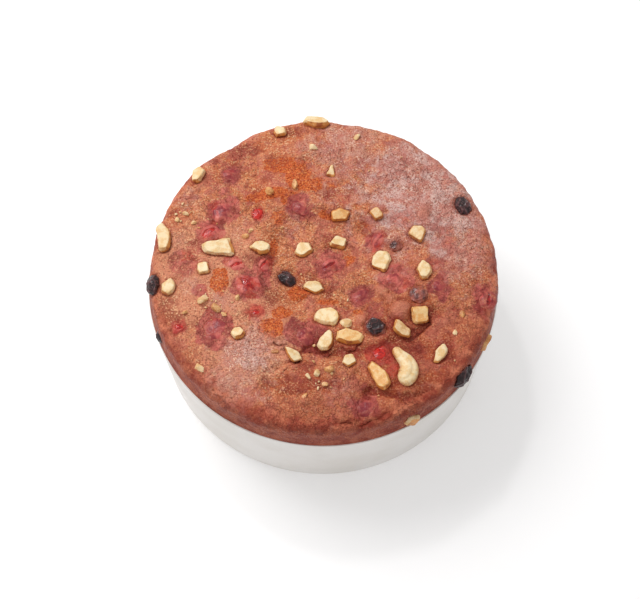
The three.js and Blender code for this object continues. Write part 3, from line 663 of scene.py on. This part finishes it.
def crust_group():
    """The baked crust: its colour where the masks say, and the height of its grain."""
    outputs = {"Color": "Color", "Height": "Float"}
    group, given, result = new_group("baked_crust", CRUST_MASKS, outputs)
    stain, dark, peel, edge, dust, bake, hollow_shade = given
    cloud = noise(group, 19, distortion=0.6)
    hue = noise(group, 16, detail=4, distortion=1.2, offset=0.61)
    patch = noise(group, 4.4, detail=5, distortion=0.9, offset=0.37)
    clump = noise(group, 2.3, offset=0.83)
    grain = noise(group, 0.8, offset=0.71)
    sugar = noise(group, 0.8, offset=1.3)

    def ragged(mask, softness=0.25, breaks=1.1):
        """A mask with its soft edge broken up by clumps."""
        broken = calculate("MULTIPLY_ADD", clump, breaks, calculate("SUBTRACT", mask, breaks / 2))
        return ramp(broken, 0.5 - softness, 0.5 + softness)

    # plain crust in warm and cool browns, peel, soaked crust, the scorched edge and dry flour
    # painted shade and light lie over these, with painted shade at the edge and painted sheen on the
    # flour
    brown = layered(
        blend(ramp(cloud, 0.36, 0.64), srgb(200, 106, 69), srgb(213, 126, 84)),
        (ramp(hue, 0.5, 0.62, 0, 0.6), srgb(200, 110, 62)),
        (ramp(hue, 0.5, 0.4, 0, 0.7), srgb(194, 102, 86)),
        (ramp(patch, 0.5, 0.68, 0, 0.6), srgb(144, 54, 40)),
        (ramp(clump, 0.56, 0.68, 0, 0.4), srgb(144, 54, 40)),
        (ramp(patch, 0.47, 0.34, 0, 0.5), srgb(220, 138, 84)),
    )
    orange = blend(ramp(grain, 0.34, 0.5), srgb(150, 50, 18), srgb(202, 90, 36))
    orange = blend(ramp(grain, 0.54, 0.68), orange, srgb(234, 142, 76))
    rind = ragged(calculate("ADD", peel, 0.12), 0.16, breaks=0.8)
    juice = use_group(group, FRUIT_JUICE, {"Dark": dark})["Color"]
    soaked = ragged(calculate("SUBTRACT", stain, 0.1), 0.35, breaks=0.8)
    char = ramp(noise(group, 8, detail=5, distortion=0.8, offset=2.7), 0.4, 0.6)
    scorch_and_shade = blend(char, srgb(154, 62, 44), srgb(218, 128, 94))
    # darkest just above the case: a darker baked side, and painted shade there
    scorch_and_shade = blend(ramp(edge, 0.88, 1, 0, 0.6), scorch_and_shade, srgb(122, 38, 24))
    dry_and_sheen = ragged(dust, 0.5)
    flake = ramp(noise(group, 8, detail=5, distortion=0.8, offset=4.1), 0.43, 0.62)
    white = blend(ramp(dust, 0.5, 0.8), srgb(218, 160, 134), srgb(214, 176, 166))

    # fine wrinkles, dark pores between pale sugary grains and painted glints, all denser in some places
    fold = calculate("SUBTRACT", noise(group, 4, detail=5, distortion=0.6, offset=3.3), 0.5)
    wrinkle = times(ramp(calculate("ABSOLUTE", fold), 0.028, 0.004), ramp(cloud, 0.4, 0.6))
    smooth = calculate("SUBTRACT", 1.0, times(calculate("MAXIMUM", soaked, rind), 0.75))
    pores = times(ramp(grain, 0.48, 0.36), ramp(clump, 0.62, 0.4, 0.35, 1), smooth)
    smooth = calculate("SUBTRACT", smooth, times(bake, 0.2))
    rich = times(smooth, ramp(patch, 0.66, 0.4, 0.2, 1), ramp(hue, 0.42, 0.58, 0.6, 1))
    # the grains and painted glints are fewer and dimmer in the painted shade and near the edge
    sugar_and_glints = times(ramp(sugar, 0.51, 0.64), rich, ramp(edge, 0, 1, 1, 0.7))
    pale = layered(
        blend(bake, srgb(240, 186, 142), srgb(222, 154, 114)),
        (dry_and_sheen, srgb(240, 204, 188)),
        (ramp(edge, 0, 0.8), srgb(208, 124, 92)),
    )
    colour = layered(
        brown,
        # painted shade, darker towards the near right side, away from the lamps
        (bake, blend(1.0, brown, (0.75, 0.58, 0.56, 1), "MULTIPLY")),
        # painted light on the lit spots
        (ramp(bake, 0, -0.4, 0, 0.75), srgb(222, 148, 114)),
        # painted light on the crust's raised tops
        (ramp(hollow_shade, 0.12, 0, 0, 0.16), srgb(224, 148, 118)),
        (times(rind, 0.95), orange),
        (times(ragged(stain, 0.45), 0.38), srgb(180, 86, 70)),
        (times(soaked, 0.82), juice),
        # painted shade, dark red, down in the crust's hollows
        (times(ragged(hollow_shade, 0.5), 0.6), srgb(130, 40, 30)),
        (times(ragged(edge, 0.45), 0.85), scorch_and_shade),
        # dusty patches, and painted sheen on the palest of them
        (times(dry_and_sheen, 0.8), srgb(196, 130, 118)),
        (times(flake, ramp(grain, 0.38, 0.58, 0.25, 1), dry_and_sheen), white),
        (times(wrinkle, 0.2), srgb(134, 48, 36)),
        (times(pores, 0.65), srgb(124, 44, 30)),
        (times(sugar_and_glints, 0.85), pale),
    )
    rough = calculate("SUBTRACT", times(clump, 0.9), times(wrinkle, 0.25))
    feed(result, {"Color": colour, "Height": calculate("MULTIPLY_ADD", grain, 0.75, rough)})
    return group


CRUST_MASKS = ("Stain", "Dark", "Peel", "Edge", "Dust", "Bake", "Hollow_shade")
FRUIT_JUICE = juice_group()
BAKED_CRUST = crust_group()


def crust_material():
    tree, shader, material = new_material("browned_crust")
    masks = {mask: painted(tree, mask.lower()) for mask in CRUST_MASKS}
    colour, height = use_group(tree, BAKED_CRUST, masks)
    seat_shade, bulge_highlight, split = (painted(tree, mask) for mask in ("seat", "bulge_highlight", "split"))
    open_split = ramp(split, 0.5, 0.1, 0, 0.6)
    pits = add_node(tree, "TexVoronoi", {"Scale": 1 / (5.2 * MM)}).outputs["Distance"]
    pit = ramp(pits, 0.07, 0.03)
    colour = layered(
        colour,
        # painted shade round the foot of each nut and raisin
        (times(seat_shade, 0.4), srgb(140, 58, 36)),
        # painted highlight on the small bumps, which are glossier as well
        (times(bulge_highlight, 0.6), srgb(206, 126, 100)),
        # painted shade along the splits and down in them
        (ramp(split, 1.4, 0.2, 0, 0.5), srgb(134, 50, 34)),
        (open_split, srgb(96, 30, 22)),
        # painted shade in the small pits
        (times(pit, 0.85), srgb(52, 22, 18)),
    )
    damp = calculate("MAXIMUM", calculate("MAXIMUM", masks["Stain"], seat_shade), bulge_highlight)
    roughness = ramp(damp, 0, 1, 0.5, 0.32)
    feed(shader, {"Base Color": colour, "Roughness": roughness, "Specular IOR Level": 0.2})
    roughen(shader, calculate("SUBTRACT", height, calculate("ADD", open_split, pit)), 1.1)
    return material


crust_points, crust_faces, crust_masks = build_crust()
crust = add_piece(
    "crust", crust_points, crust_faces, crust_material(), sharp_angle=60, masks=crust_masks
)
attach(crust, "root")
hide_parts("cake")
CRUST_SURFACE = BVHTree.FromPolygons(crust_points.tolist(), crust_faces)

# ---- Nut crumbs ----
# Grains of the same cashews, too small to be pieces, stuck in the crust: some as large as a
# lentil, and a scatter of finer ones round them.

# Place and length of each large one.
CRUMBS = [
    (-4.9, 64.5, 3.8), (17.2, 71.5, 3.2), (-13.6, 43, 4.4), (-26.2, 39, 4.6), (-37.6, 14.8, 3.4),
    (-34.8, 17.6, 2.8), (-70.6, 24.4, 2.6), (-66.6, 27.6, 2.6), (-62.4, 22.6, 2.4), (-55.9, -18.8, 5),
    (-49.6, -23.4, 4.2), (-45.6, -26.4, 2.8), (-63.6, -25.4, 2.4), (-39.8, -18.2, 2.8),
    (-56, -52.4, 4.4), (-22, -45.4, 3), (3.2, -53.6, 4.8), (-2.6, -55.6, 3.4), (-6.8, -56.8, 2.6),
    (1, -60.8, 2.6), (-8.2, -66.4, 2.6), (64.6, -26, 3.2), (60.6, -35.4, 2.8), (10.9, -31, 5.4),
]
CRUMB_SHAPE = (1, 0.72, 0.7)
CRUMB_LIFT = 0.35
# Three in four of the fine ones lie in clusters.
FINE_CRUMBS = 90
CLUSTERS = [(-68, 25), (-36, 16), (-50, -22), (0, -57), (5, -20)]
CLUSTER_SPREAD = 4.5
BED = 4  # the length of crust that a piece's seat is levelled over


def seated_at(points, place, turn, lift):
    """A piece's points once it is laid on the crust at a place, its own Z along the normal."""
    distance, bearing = math.hypot(*place), math.atan2(place[1], place[0])
    turn_per_mm = 1 / max(min(distance, CAKE_RADIUS), BED)

    def at(away, towards):
        return Vector(crust_point(np.float64(away), np.float64(towards)))

    outward = at(distance + BED / 2, bearing) - at(max(distance - BED / 2, 0), bearing)
    aside = BED / 2 * turn_per_mm
    sideways = at(distance, bearing + aside) - at(distance, bearing - aside)
    up = outward.cross(sideways).normalized()
    heading = Vector((math.cos(math.radians(turn)), math.sin(math.radians(turn)), 0))
    left = up.cross(heading).normalized()
    middle = at(distance, bearing) + up * lift
    return points @ np.array([left.cross(up), left, up]) + np.array(middle)


def unit_ball(steps):
    """Points and faces of a ball of radius 1, made of triangles."""
    mesh = bpy.data.meshes.new("ball")
    form = bmesh.new()
    bmesh.ops.create_icosphere(form, subdivisions=steps, radius=1)
    form.to_mesh(mesh)
    form.free()
    points = np.array([vertex.co for vertex in mesh.vertices])
    faces = [tuple(polygon.vertices) for polygon in mesh.polygons]
    bpy.data.meshes.remove(mesh)
    return points, faces


def chipped(points, seed):
    """A ball's points cut back to a few flat faces, as a broken grain has."""
    random = np.random.default_rng(seed)
    cuts = random.normal(size=(8, 3))
    cuts /= np.linalg.norm(cuts, axis=1)[:, None]
    reach = np.max(points @ cuts.T / random.uniform(0.72, 0.95, 8), axis=1)
    return points / np.maximum(reach, 0.75)[:, None]


def build_crumbs():
    random = np.random.default_rng(5)
    grains = [(x, y, length, 47 * i) for i, (x, y, length) in enumerate(CRUMBS)]
    for i in range(FINE_CRUMBS):
        if i % 4:
            x, y = random.normal(CLUSTERS[i % len(CLUSTERS)], CLUSTER_SPREAD)
        else:
            away, bearing = CROWN_RADIUS * math.sqrt(random.random()), random.uniform(0, 2 * math.pi)
            x, y = away * math.cos(bearing), away * math.sin(bearing)
        if math.hypot(x, y) < CROWN_RADIUS:
            grains.append((x, y, random.uniform(0.6, 1.5), random.uniform(0, 360)))
    ball, ball_faces = unit_ball(3)
    points, faces, tones = [], [], []
    for i, (x, y, length, turn) in enumerate(grains):
        size = np.array(CRUMB_SHAPE) * length / 2
        grain = chipped(ball, 400 + i) * size
        faces += [[len(points) * len(ball) + corner for corner in face] for face in ball_faces]
        points.append(seated_at(grain, (x, y), turn, size[2] * CRUMB_LIFT))
        tones.append(np.full(len(ball), random.random()))
    return np.vstack(points), faces, np.concatenate(tones)


def above_crust(points):
    """Height of points over the crust, up to 4 mm, and negative inside it."""
    return nearest_surface(CRUST_SURFACE, points, 4)


def nut_material(name, pale, cream, golden, brown):
    """Cashew: creamy where cut, golden where the skin was, brown where toasted, with painted shade too.
    """
    tree, shader, material = new_material(name)
    cloud = noise(tree, 3.2, offset=0.2)
    grain = noise(tree, 0.5, offset=0.9)
    cut = blend(ramp(cloud, 0.42, 0.6), pale, cream)
    cut = blend(ramp(grain, 0.52, 0.7, 0, 0.3), cut, srgb(252, 241, 216))
    skin = blend(ramp(cloud, 0.45, 0.65), golden, brown)
    toast_and_shade = calculate("ADD", painted(tree, "toast_and_shade"), ramp(grain, 0.35, 0.65, -0.12, 0.12))
    nut = blend(ramp(toast_and_shade, 0.15, 0.85), cut, skin)
    batter, height = use_group(tree, BAKED_CRUST, {})
    smear = calculate("ADD", painted(tree, "foot"), ramp(grain, 0.35, 0.65, -0.25, 0.25))
    smear = ramp(smear, 0.45, 0.75)
    feed(shader, {
        "Base Color": blend(smear, nut, batter),
        "Roughness": ramp(smear, 0, 1, 0.42, 0.6),
        "Subsurface Weight": 0.08,
        "Subsurface Radius": (1.0 * MM, 0.7 * MM, 0.4 * MM),
        "Subsurface Scale": 1.0,
    })
    roughen(shader, blend(smear, grain, height), 0.12)
    return material


PALE_NUT = nut_material(
    "pale_cashew", srgb(238, 213, 168), srgb(228, 188, 128), srgb(218, 148, 76), srgb(176, 96, 46)
)
crumb_points, crumb_faces, crumb_tones = build_crumbs()
crumb_foot = 1 - smoothstep(0, 0.8, above_crust(crumb_points))
masks = {"toast_and_shade": 0.2 + 0.5 * crumb_tones, "foot": crumb_foot}
crumbs = add_piece("nut_crumbs", crumb_points, crumb_faces, PALE_NUT, sharp_angle=30, masks=masks)
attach(crumbs, "root")

# ---- Chopped cashews ----
# Cashew kernels chopped by hand and pressed into the batter: flat creamy faces where the knife
# went through, a curved golden face where the skin was, and batter climbing round the foot.

TAWNY_NUT = nut_material(
    "toasted_cashew", srgb(240, 198, 136), srgb(228, 166, 92), srgb(210, 130, 56), srgb(166, 84, 36)
)
TOASTED = ("nut_square", "nut_tawny", "nut_front_long", "nut_dip_back", "nut_right_side")
# How much browner some are than the rest.
BROWNER = {"nut_right_back": 0.5, "nut_wedge": 0.4, "nut_right_wedge": 0.3, "nut_dip_back": 0.4}
NUT_STEP = 0.3


def evened(node, step, smoothing):
    """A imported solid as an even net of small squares, a little smoothed.

    Gives its points, its faces and its points' normals.
    """
    copy = bpy.data.objects.new("copy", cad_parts[node].data.copy())
    bpy.context.collection.objects.link(copy)
    remesh = copy.modifiers.new("remesh", "REMESH")
    remesh.mode = "VOXEL"
    remesh.voxel_size = step * MM
    smooth = copy.modifiers.new("smooth", "SMOOTH")
    smooth.factor = 0.5
    smooth.iterations = smoothing
    bpy.context.view_layer.update()
    shape = copy.evaluated_get(bpy.context.evaluated_depsgraph_get())
    mesh = shape.to_mesh()
    points = np.empty(3 * len(mesh.vertices), np.float32)
    mesh.vertices.foreach_get("co", points)
    faces = [tuple(polygon.vertices) for polygon in mesh.polygons]
    shape.to_mesh_clear()
    bpy.data.objects.remove(copy)
    points = points.reshape(-1, 3).astype(float) / MM
    return points, faces, normals_of(points, faces)


def foot_mask(points, height):
    """1 where batter clings round a topping's foot, ragged, up to a height above the crust."""
    ragged = above_crust(points) + 0.5 * height * lumps(points, 1.6, 41)
    return 1 - smoothstep(0.1 * height, height, ragged)


def build_nut(node, seed):
    """A chopped piece: crisp faces with a coarse break, and its toasted side with painted shade."""
    points, faces, normals = evened(node, NUT_STEP, smoothing=0)
    relief = 0.1 * lumps(points, 3, seed) + 0.07 * lumps(points, 1.1, seed + 50)
    points = points + normals * relief[:, None]
    notch = 0.5 * lumps(points, 3.6, seed + 20) + 0.2 * lumps(points, 1.7, seed + 30)
    points = points + normals * notch[:, None] * (1, 1, 0.1)
    random = np.random.default_rng(seed)
    # its skin side turns mostly to the near right, away from the lamps: its gold is toast and painted
    # shade
    bearing = math.radians(-65 + random.normal(0, 40))
    skin = np.array([math.cos(bearing), math.sin(bearing), random.uniform(-0.5, 0.1)])
    facing = normals @ (skin / np.linalg.norm(skin))
    edge = smoothstep(0.3, 0.8, facing + 0.25 * lumps(points, 2.2, seed + 90))
    up = normals[above_crust(points) > 0].sum(axis=0)
    # its steep sides are golden as well: toast and painted shade
    upright = smoothstep(0.1, 0.65, 1 - normals @ (up / np.linalg.norm(up)))
    return points, faces, random.uniform(0.7, 1) * edge + 0.4 * upright + random.uniform(-0.1, 0.25)


for seed, node in enumerate(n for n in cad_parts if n.startswith("nut_")):
    points, faces, toast_and_shade = build_nut(node, seed + 1)
    material = TAWNY_NUT if node in TOASTED else PALE_NUT
    masks = {"toast_and_shade": toast_and_shade + BROWNER.get(node, 0), "foot": foot_mask(points, height=0.75)}
    nut = add_piece("chopped_" + node, points, faces, material, masks=masks)
    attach(nut, "root")
    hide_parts(node)

# ---- Whole cashew ----
# The one kernel left whole lies on its side near the front: a thick comma, fatter at its near
# end, with the shallow groove where its two halves meet.

WHOLE_PLACE = (37.6, -52.9)
# Its middle line, from its far end to its near one: place, radius.
WHOLE_SPINE = [
    (-4.9, 9.4, 2.1), (-3, 6.5, 2.6), (0, 3, 3.6), (1.2, -0.6, 4.3), (-0.1, -4.2, 4.4), (-2.7, -6, 3.4),
]
WHOLE_FLATNESS = 0.82
WHOLE_SUNK = 0.34
WHOLE_END = 0.26  # the share of its half length over which an end closes
GROOVE_ANGLE = 1.95
STATIONS = 72
SIDES = 56


def smooth_spine(points, count):
    """Even steps along a curve through the spine's points, and the direction at each."""
    points = np.array(points, float)
    ends = np.vstack([2 * points[0] - points[1], points, 2 * points[-1] - points[-2]])
    at = np.linspace(0, len(points) - 1, count)
    span = np.minimum(at.astype(int), len(points) - 2)
    t = (at - span)[:, None]
    p0, p1, p2, p3 = (ends[span + i] for i in range(4))
    curve = 0.5 * (2 * p1 + (p2 - p0) * t + (2 * p0 - 5 * p1 + 4 * p2 - p3) * t**2)
    curve += 0.5 * (3 * p1 - p0 - 3 * p2 + p3) * t**3
    heading = np.gradient(curve[:, :2], axis=0)
    return curve, heading / np.linalg.norm(heading, axis=1)[:, None]


def build_whole_nut():
    curve, heading = smooth_spine(WHOLE_SPINE, STATIONS)
    share = np.linspace(-1, 1, STATIONS)
    # both ends close in a quarter round
    end = np.clip((np.abs(share) - 1) / WHOLE_END + 1, 0, 1)
    radius = curve[:, 2] * np.sqrt(np.clip(1 - end**2, 0, 1))
    angle = np.linspace(0, 2 * math.pi, SIDES, endpoint=False)
    # its top is a little flat, with the groove between the halves nearer its inner bend
    groove = 0.08 * hump(angle - GROOVE_ANGLE, 0.16)
    flat_top = 0.1 * smoothstep(0.6, 1, np.sin(angle))
    reach = radius[:, None] * (1 - groove - flat_top)
    outward = np.stack([heading[:, 1], -heading[:, 0]], -1)
    middle = curve[:, :2] + heading * (np.sign(share) * curve[:, 2] * 0.3 * end)[:, None]
    across = middle[:, None, :] + outward[:, None, :] * (reach * np.cos(angle))[:, :, None]
    height = WHOLE_FLATNESS * reach * np.sin(angle)
    points = np.concatenate([across, height[:, :, None]], -1).reshape(-1, 3)
    rings = np.arange(len(points)).reshape(STATIONS, SIDES)
    faces = bands(rings) + [rings[0].tolist(), rings[-1][::-1].tolist()]
    thickness = 2 * WHOLE_FLATNESS * max(radius for _, _, radius in WHOLE_SPINE)
    points = seated_at(points, WHOLE_PLACE, 0, thickness * (0.5 - WHOLE_SUNK))
    relief = 0.14 * lumps(points, 4, 61) + 0.05 * lumps(points, 1.3, 62)
    points = points + normals_of(points, faces) * relief[:, None]
    # darker along its groove, on its flanks and towards its near tip
    seam = np.tile(0.25 * hump(angle - GROOVE_ANGLE, 0.2), STATIONS)
    side = np.tile(smoothstep(0.45, 1.0, np.abs(np.cos(angle))), STATIONS)
    tip = np.repeat(smoothstep(0.35, 1.0, -share), SIDES)
    toast_and_shade = seam + 0.5 * side + 0.35 * tip - 0.1 + 0.15 * lumps(points, 3, 63)
    return points, faces, {"toast_and_shade": toast_and_shade, "foot": foot_mask(points, height=0.4)}


whole_points, whole_faces, whole_masks = build_whole_nut()
whole = add_piece("whole_cashew", whole_points, whole_faces, PALE_NUT, masks=whole_masks)
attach(whole, "root")
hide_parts("cashew_whole")

# ---- Raisins ----
# Dark raisins, baked dry where they lie half sunk in the crust: deeply wrinkled, glossy on their
# ridges and dusty in their folds, with batter baked over the lowest ones.

RAISIN_STEP = 0.24


def build_raisin(node, seed):
    points, faces, normals = evened(node, RAISIN_STEP, smoothing=4)
    warped = points + 0.7 * np.stack([lumps(points, 3, seed + i) for i in (1, 2, 3)], -1)
    fold = 1 - np.abs(lumps(warped, 2.6, seed + 4)) * 1.6
    crinkle = 1 - np.abs(lumps(warped, 1.3, seed + 5)) * 1.6
    ridge = np.clip(fold, -0.5, 1) ** 3 * 0.55 + np.clip(crinkle, -0.5, 1) ** 3 * 0.22
    return points + normals * (ridge - 0.2)[:, None], faces, np.clip(ridge / 0.7, 0, 1)


def raisin_material():
    tree, shader, material = new_material("raisin_skin")
    # painted highlight on the ridges and painted shade down the folds: the skin paler up high, darker
    # low
    skin = blend(ramp(painted(tree, "ridge"), 0.1, 0.8), srgb(36, 17, 19), srgb(84, 47, 48))
    dust = noise(tree, 0.8, offset=0.5)
    dusty = times(ramp(dust, 0.52, 0.68), painted(tree, "bloom"))
    colour = blend(dusty, skin, srgb(146, 104, 102))
    batter = use_group(tree, BAKED_CRUST, {"Stain": 0.7, "Dark": 0.7, "Dust": 0.3})["Color"]
    feed(shader, {
        "Base Color": blend(times(painted(tree, "foot"), 0.8), colour, batter),
        "Roughness": ramp(dusty, 0, 1, 0.28, 0.7),
        "Coat Weight": 0.15,
        "Specular IOR Level": 0.35,
    })
    roughen(shader, dust, 0.1)
    return material


# How dusty each raisin is, and how far batter covers it; the rest are bare and black.
BLOOM = {"raisin_dusty": 0.8, "raisin_half_sunk": 0.6, "raisin_left": 0.45, "raisin_right_back": 0.5}
COVERED = {"raisin_half_sunk": 5, "raisin_dusty": 3.2, "raisin_front": 2.2}
RAISIN = raisin_material()
for seed, node in enumerate(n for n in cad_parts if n.startswith("raisin_")):
    points, faces, ridge = build_raisin(node, 100 + 10 * seed)
    foot = foot_mask(points, height=COVERED.get(node, 0.5))
    masks = {"ridge": ridge, "bloom": BLOOM.get(node, 0.15), "foot": foot}
    raisin = add_piece("wrinkled_" + node, points, faces, RAISIN, masks=masks)
    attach(raisin, "root")
    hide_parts(node)

# ---- Candied fruit ----
# Candied cherries and other red fruit, sunk in the batter. A thin film of crust covers most of
# each, dyed purple by the juice, and where it split the wet red flesh shows.

# Where some tore open: length and width as shares of the fruit, turn (degrees).
TORN = {
    "cherry_bright": (1.3, 1.25, 0), "cherry_back_left": (1.0, 0.4, 35),
    "cherry_left_pink": (1.0, 0.22, 25), "cherry_left_slit": (1.05, 0.24, -37),
    "cherry_left_front": (1.2, 0.75, 20), "cherry_far_left": (0.9, 0.9, 0),
    "cherry_front": (1.35, 1.35, 0), "cherry_right_edge": (1.0, 0.3, 80),
    "cherry_middle": (1.0, 0.2, 30), "fruit_dip_left": (1.1, 0.25, 60),
}
POINTED = {"cherry_bright": 100, "cherry_left_front": 15, "cherry_far_left": -120}  # where its tip is
FRUIT_STEP = 0.3


def torn_patch(node, points, seed):
    """A mask of the angular patch where a fruit tore open."""
    if node not in TORN:
        return np.zeros(len(points))
    length, width, turn = TORN[node]
    along, aside = turned(*(points - points.mean(axis=0)).T[:2], turn)
    along, aside = along / (length * np.ptp(along) / 2), aside / (width * np.ptp(aside) / 2)
    random = np.random.default_rng(seed)
    bearings = random.uniform(0, 1.2) + np.arange(5) * 2 * math.pi / 5 + random.uniform(-0.4, 0.4, 5)
    sides = [along * math.cos(a) + aside * math.sin(a) for a in bearings]
    reach = np.max(np.array(sides) / random.uniform(0.6, 0.9, 5)[:, None], axis=0)
    return 1 - smoothstep(0.86, 1.0, reach + 0.2 * lumps(points, 1.8, seed))


def build_fruit(node, seed):
    """A fruit's top: a low dome with soft wrinkles, sunk where its skin is torn."""
    points, faces, normals = evened(node, FRUIT_STEP, smoothing=3)
    torn = torn_patch(node, points, seed)
    relief = 0.4 + 0.3 * lumps(points, 4.5, seed + 1) + 0.12 * lumps(points, 2.2, seed + 2)
    relief -= 0.7 * torn
    sideways = 0.8 + 0.7 * lumps(points, 3, seed + 3)
    if node in POINTED:
        tip = math.radians(POINTED[node])
        facing = normals @ (math.cos(tip), math.sin(tip), 0)
        sideways += 1.8 * np.clip(facing, 0, 1) ** 6 - 0.6
    return points + normals * (relief[:, None] + sideways[:, None] * (1, 1, 0)), faces, torn


def fruit_material():
    tree, shader, material = new_material("candied_cherry")
    cloud = noise(tree, 3, detail=2, distortion=1.2, offset=0.3)
    dark, torn = painted(tree, "dark"), painted(tree, "torn")
    skin = use_group(tree, FRUIT_JUICE, {"Dark": dark})["Color"]
    film, grain = use_group(tree, BAKED_CRUST, {"Stain": 0.7, "Dark": dark})
    patches = ramp(noise(tree, 5, distortion=0.8, offset=2.3), 0.46, 0.6, 0, 0.5)
    covered = calculate("MAXIMUM", patches, painted(tree, "foot"))
    light = ramp(cloud, 0.4, 0.6)
    bright = blend(light, srgb(156, 14, 10), srgb(200, 40, 28))
    deep = blend(light, srgb(84, 10, 14), srgb(150, 32, 30))
    dull = times(covered, calculate("SUBTRACT", 1.0, torn))
    feed(shader, {
        "Base Color": blend(torn, blend(covered, skin, film), blend(dark, bright, deep)),
        "Roughness": ramp(dull, 0, 1, 0.26, 0.5),
        "Specular IOR Level": 0.25,
        "Coat Weight": times(torn, 0.3),
    })
    roughen(shader, blend(dull, cloud, grain), 0.4)
    return material


CANDIED = fruit_material()
for seed, (node, (darkness, _)) in enumerate(JUICE.items()):
    points, faces, torn = build_fruit(node, 200 + 10 * seed)
    masks = {"torn": torn, "foot": foot_mask(points, height=0.3), "dark": darkness}
    fruit = add_piece("candied_" + node, points, faces, CANDIED, masks=masks)
    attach(fruit, "root")
    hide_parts(node)

# ---- Table and light ----
# A pale, faintly glowing table top, a broad soft lamp and a small one high on the far left, and
# a white room, brighter on that side.

TABLE_RADIUS = 3000
TABLE_SIDES = 96
TABLE_GLOW = 0.16  # a sheet lit from below
# Place, size (mm) and power (W): the broad one models the crust, the small one gives glints.
LAMPS = {
    "broad_lamp": ((-520, 380, 830), 480, 3.9),
    "small_lamp": ((-240, 460, 840), 90, 1.1),
}
BRIGHT_SIDE = (-0.5, 0.45, 0.74)  # where the room is brightest
ROOM_LIGHT = (0.3, 0.84)  # opposite its brightest side, and there


def table_material():
    tree, shader, material = new_material("pale_table")
    tone = ramp(noise(tree, 300, detail=2), 0.3, 0.7)
    feed(shader, {
        "Base Color": blend(tone, srgb(246, 245, 245), srgb(242, 241, 241)),
        "Roughness": 0.8,
        "Emission Color": srgb(255, 255, 255),
        "Emission Strength": TABLE_GLOW,
    })
    return material


table_edge = around(TABLE_RADIUS, np.linspace(0, 2 * math.pi, TABLE_SIDES, endpoint=False), 0)
table = add_piece("table", table_edge, [tuple(range(TABLE_SIDES))], table_material())


def hang_lamp(name, place, size, power):
    """A round lamp that shines at the middle of the table."""
    data = bpy.data.lights.new(name, "AREA")
    data.shape = "DISK"
    data.size = size * MM
    data.energy = power
    lamp = bpy.data.objects.new(name, data)
    bpy.context.collection.objects.link(lamp)
    lamp.location = Vector(place) * MM
    lamp.rotation_euler = (-lamp.location).to_track_quat("-Z", "Y").to_euler()


for name, lamp in LAMPS.items():
    hang_lamp(name, *lamp)

room = bpy.data.worlds.new("room")
room.use_nodes = True
walls = room.node_tree
heading = add_node(walls, "TexCoord", {}).outputs["Generated"]
facing = add_node(walls, "VectorMath", {0: heading, 1: BRIGHT_SIDE}, operation="DOT_PRODUCT")
reach = {0: facing.outputs["Value"], 1: -1.0, 3: ROOM_LIGHT[0], 4: ROOM_LIGHT[1]}
brightness = add_node(walls, "MapRange", reach)
feed(walls.nodes["Background"], {"Color": (1, 1, 1, 1), "Strength": brightness.outputs[0]})
bpy.context.scene.world = room
bpy.context.scene.view_settings.view_transform = "Standard"
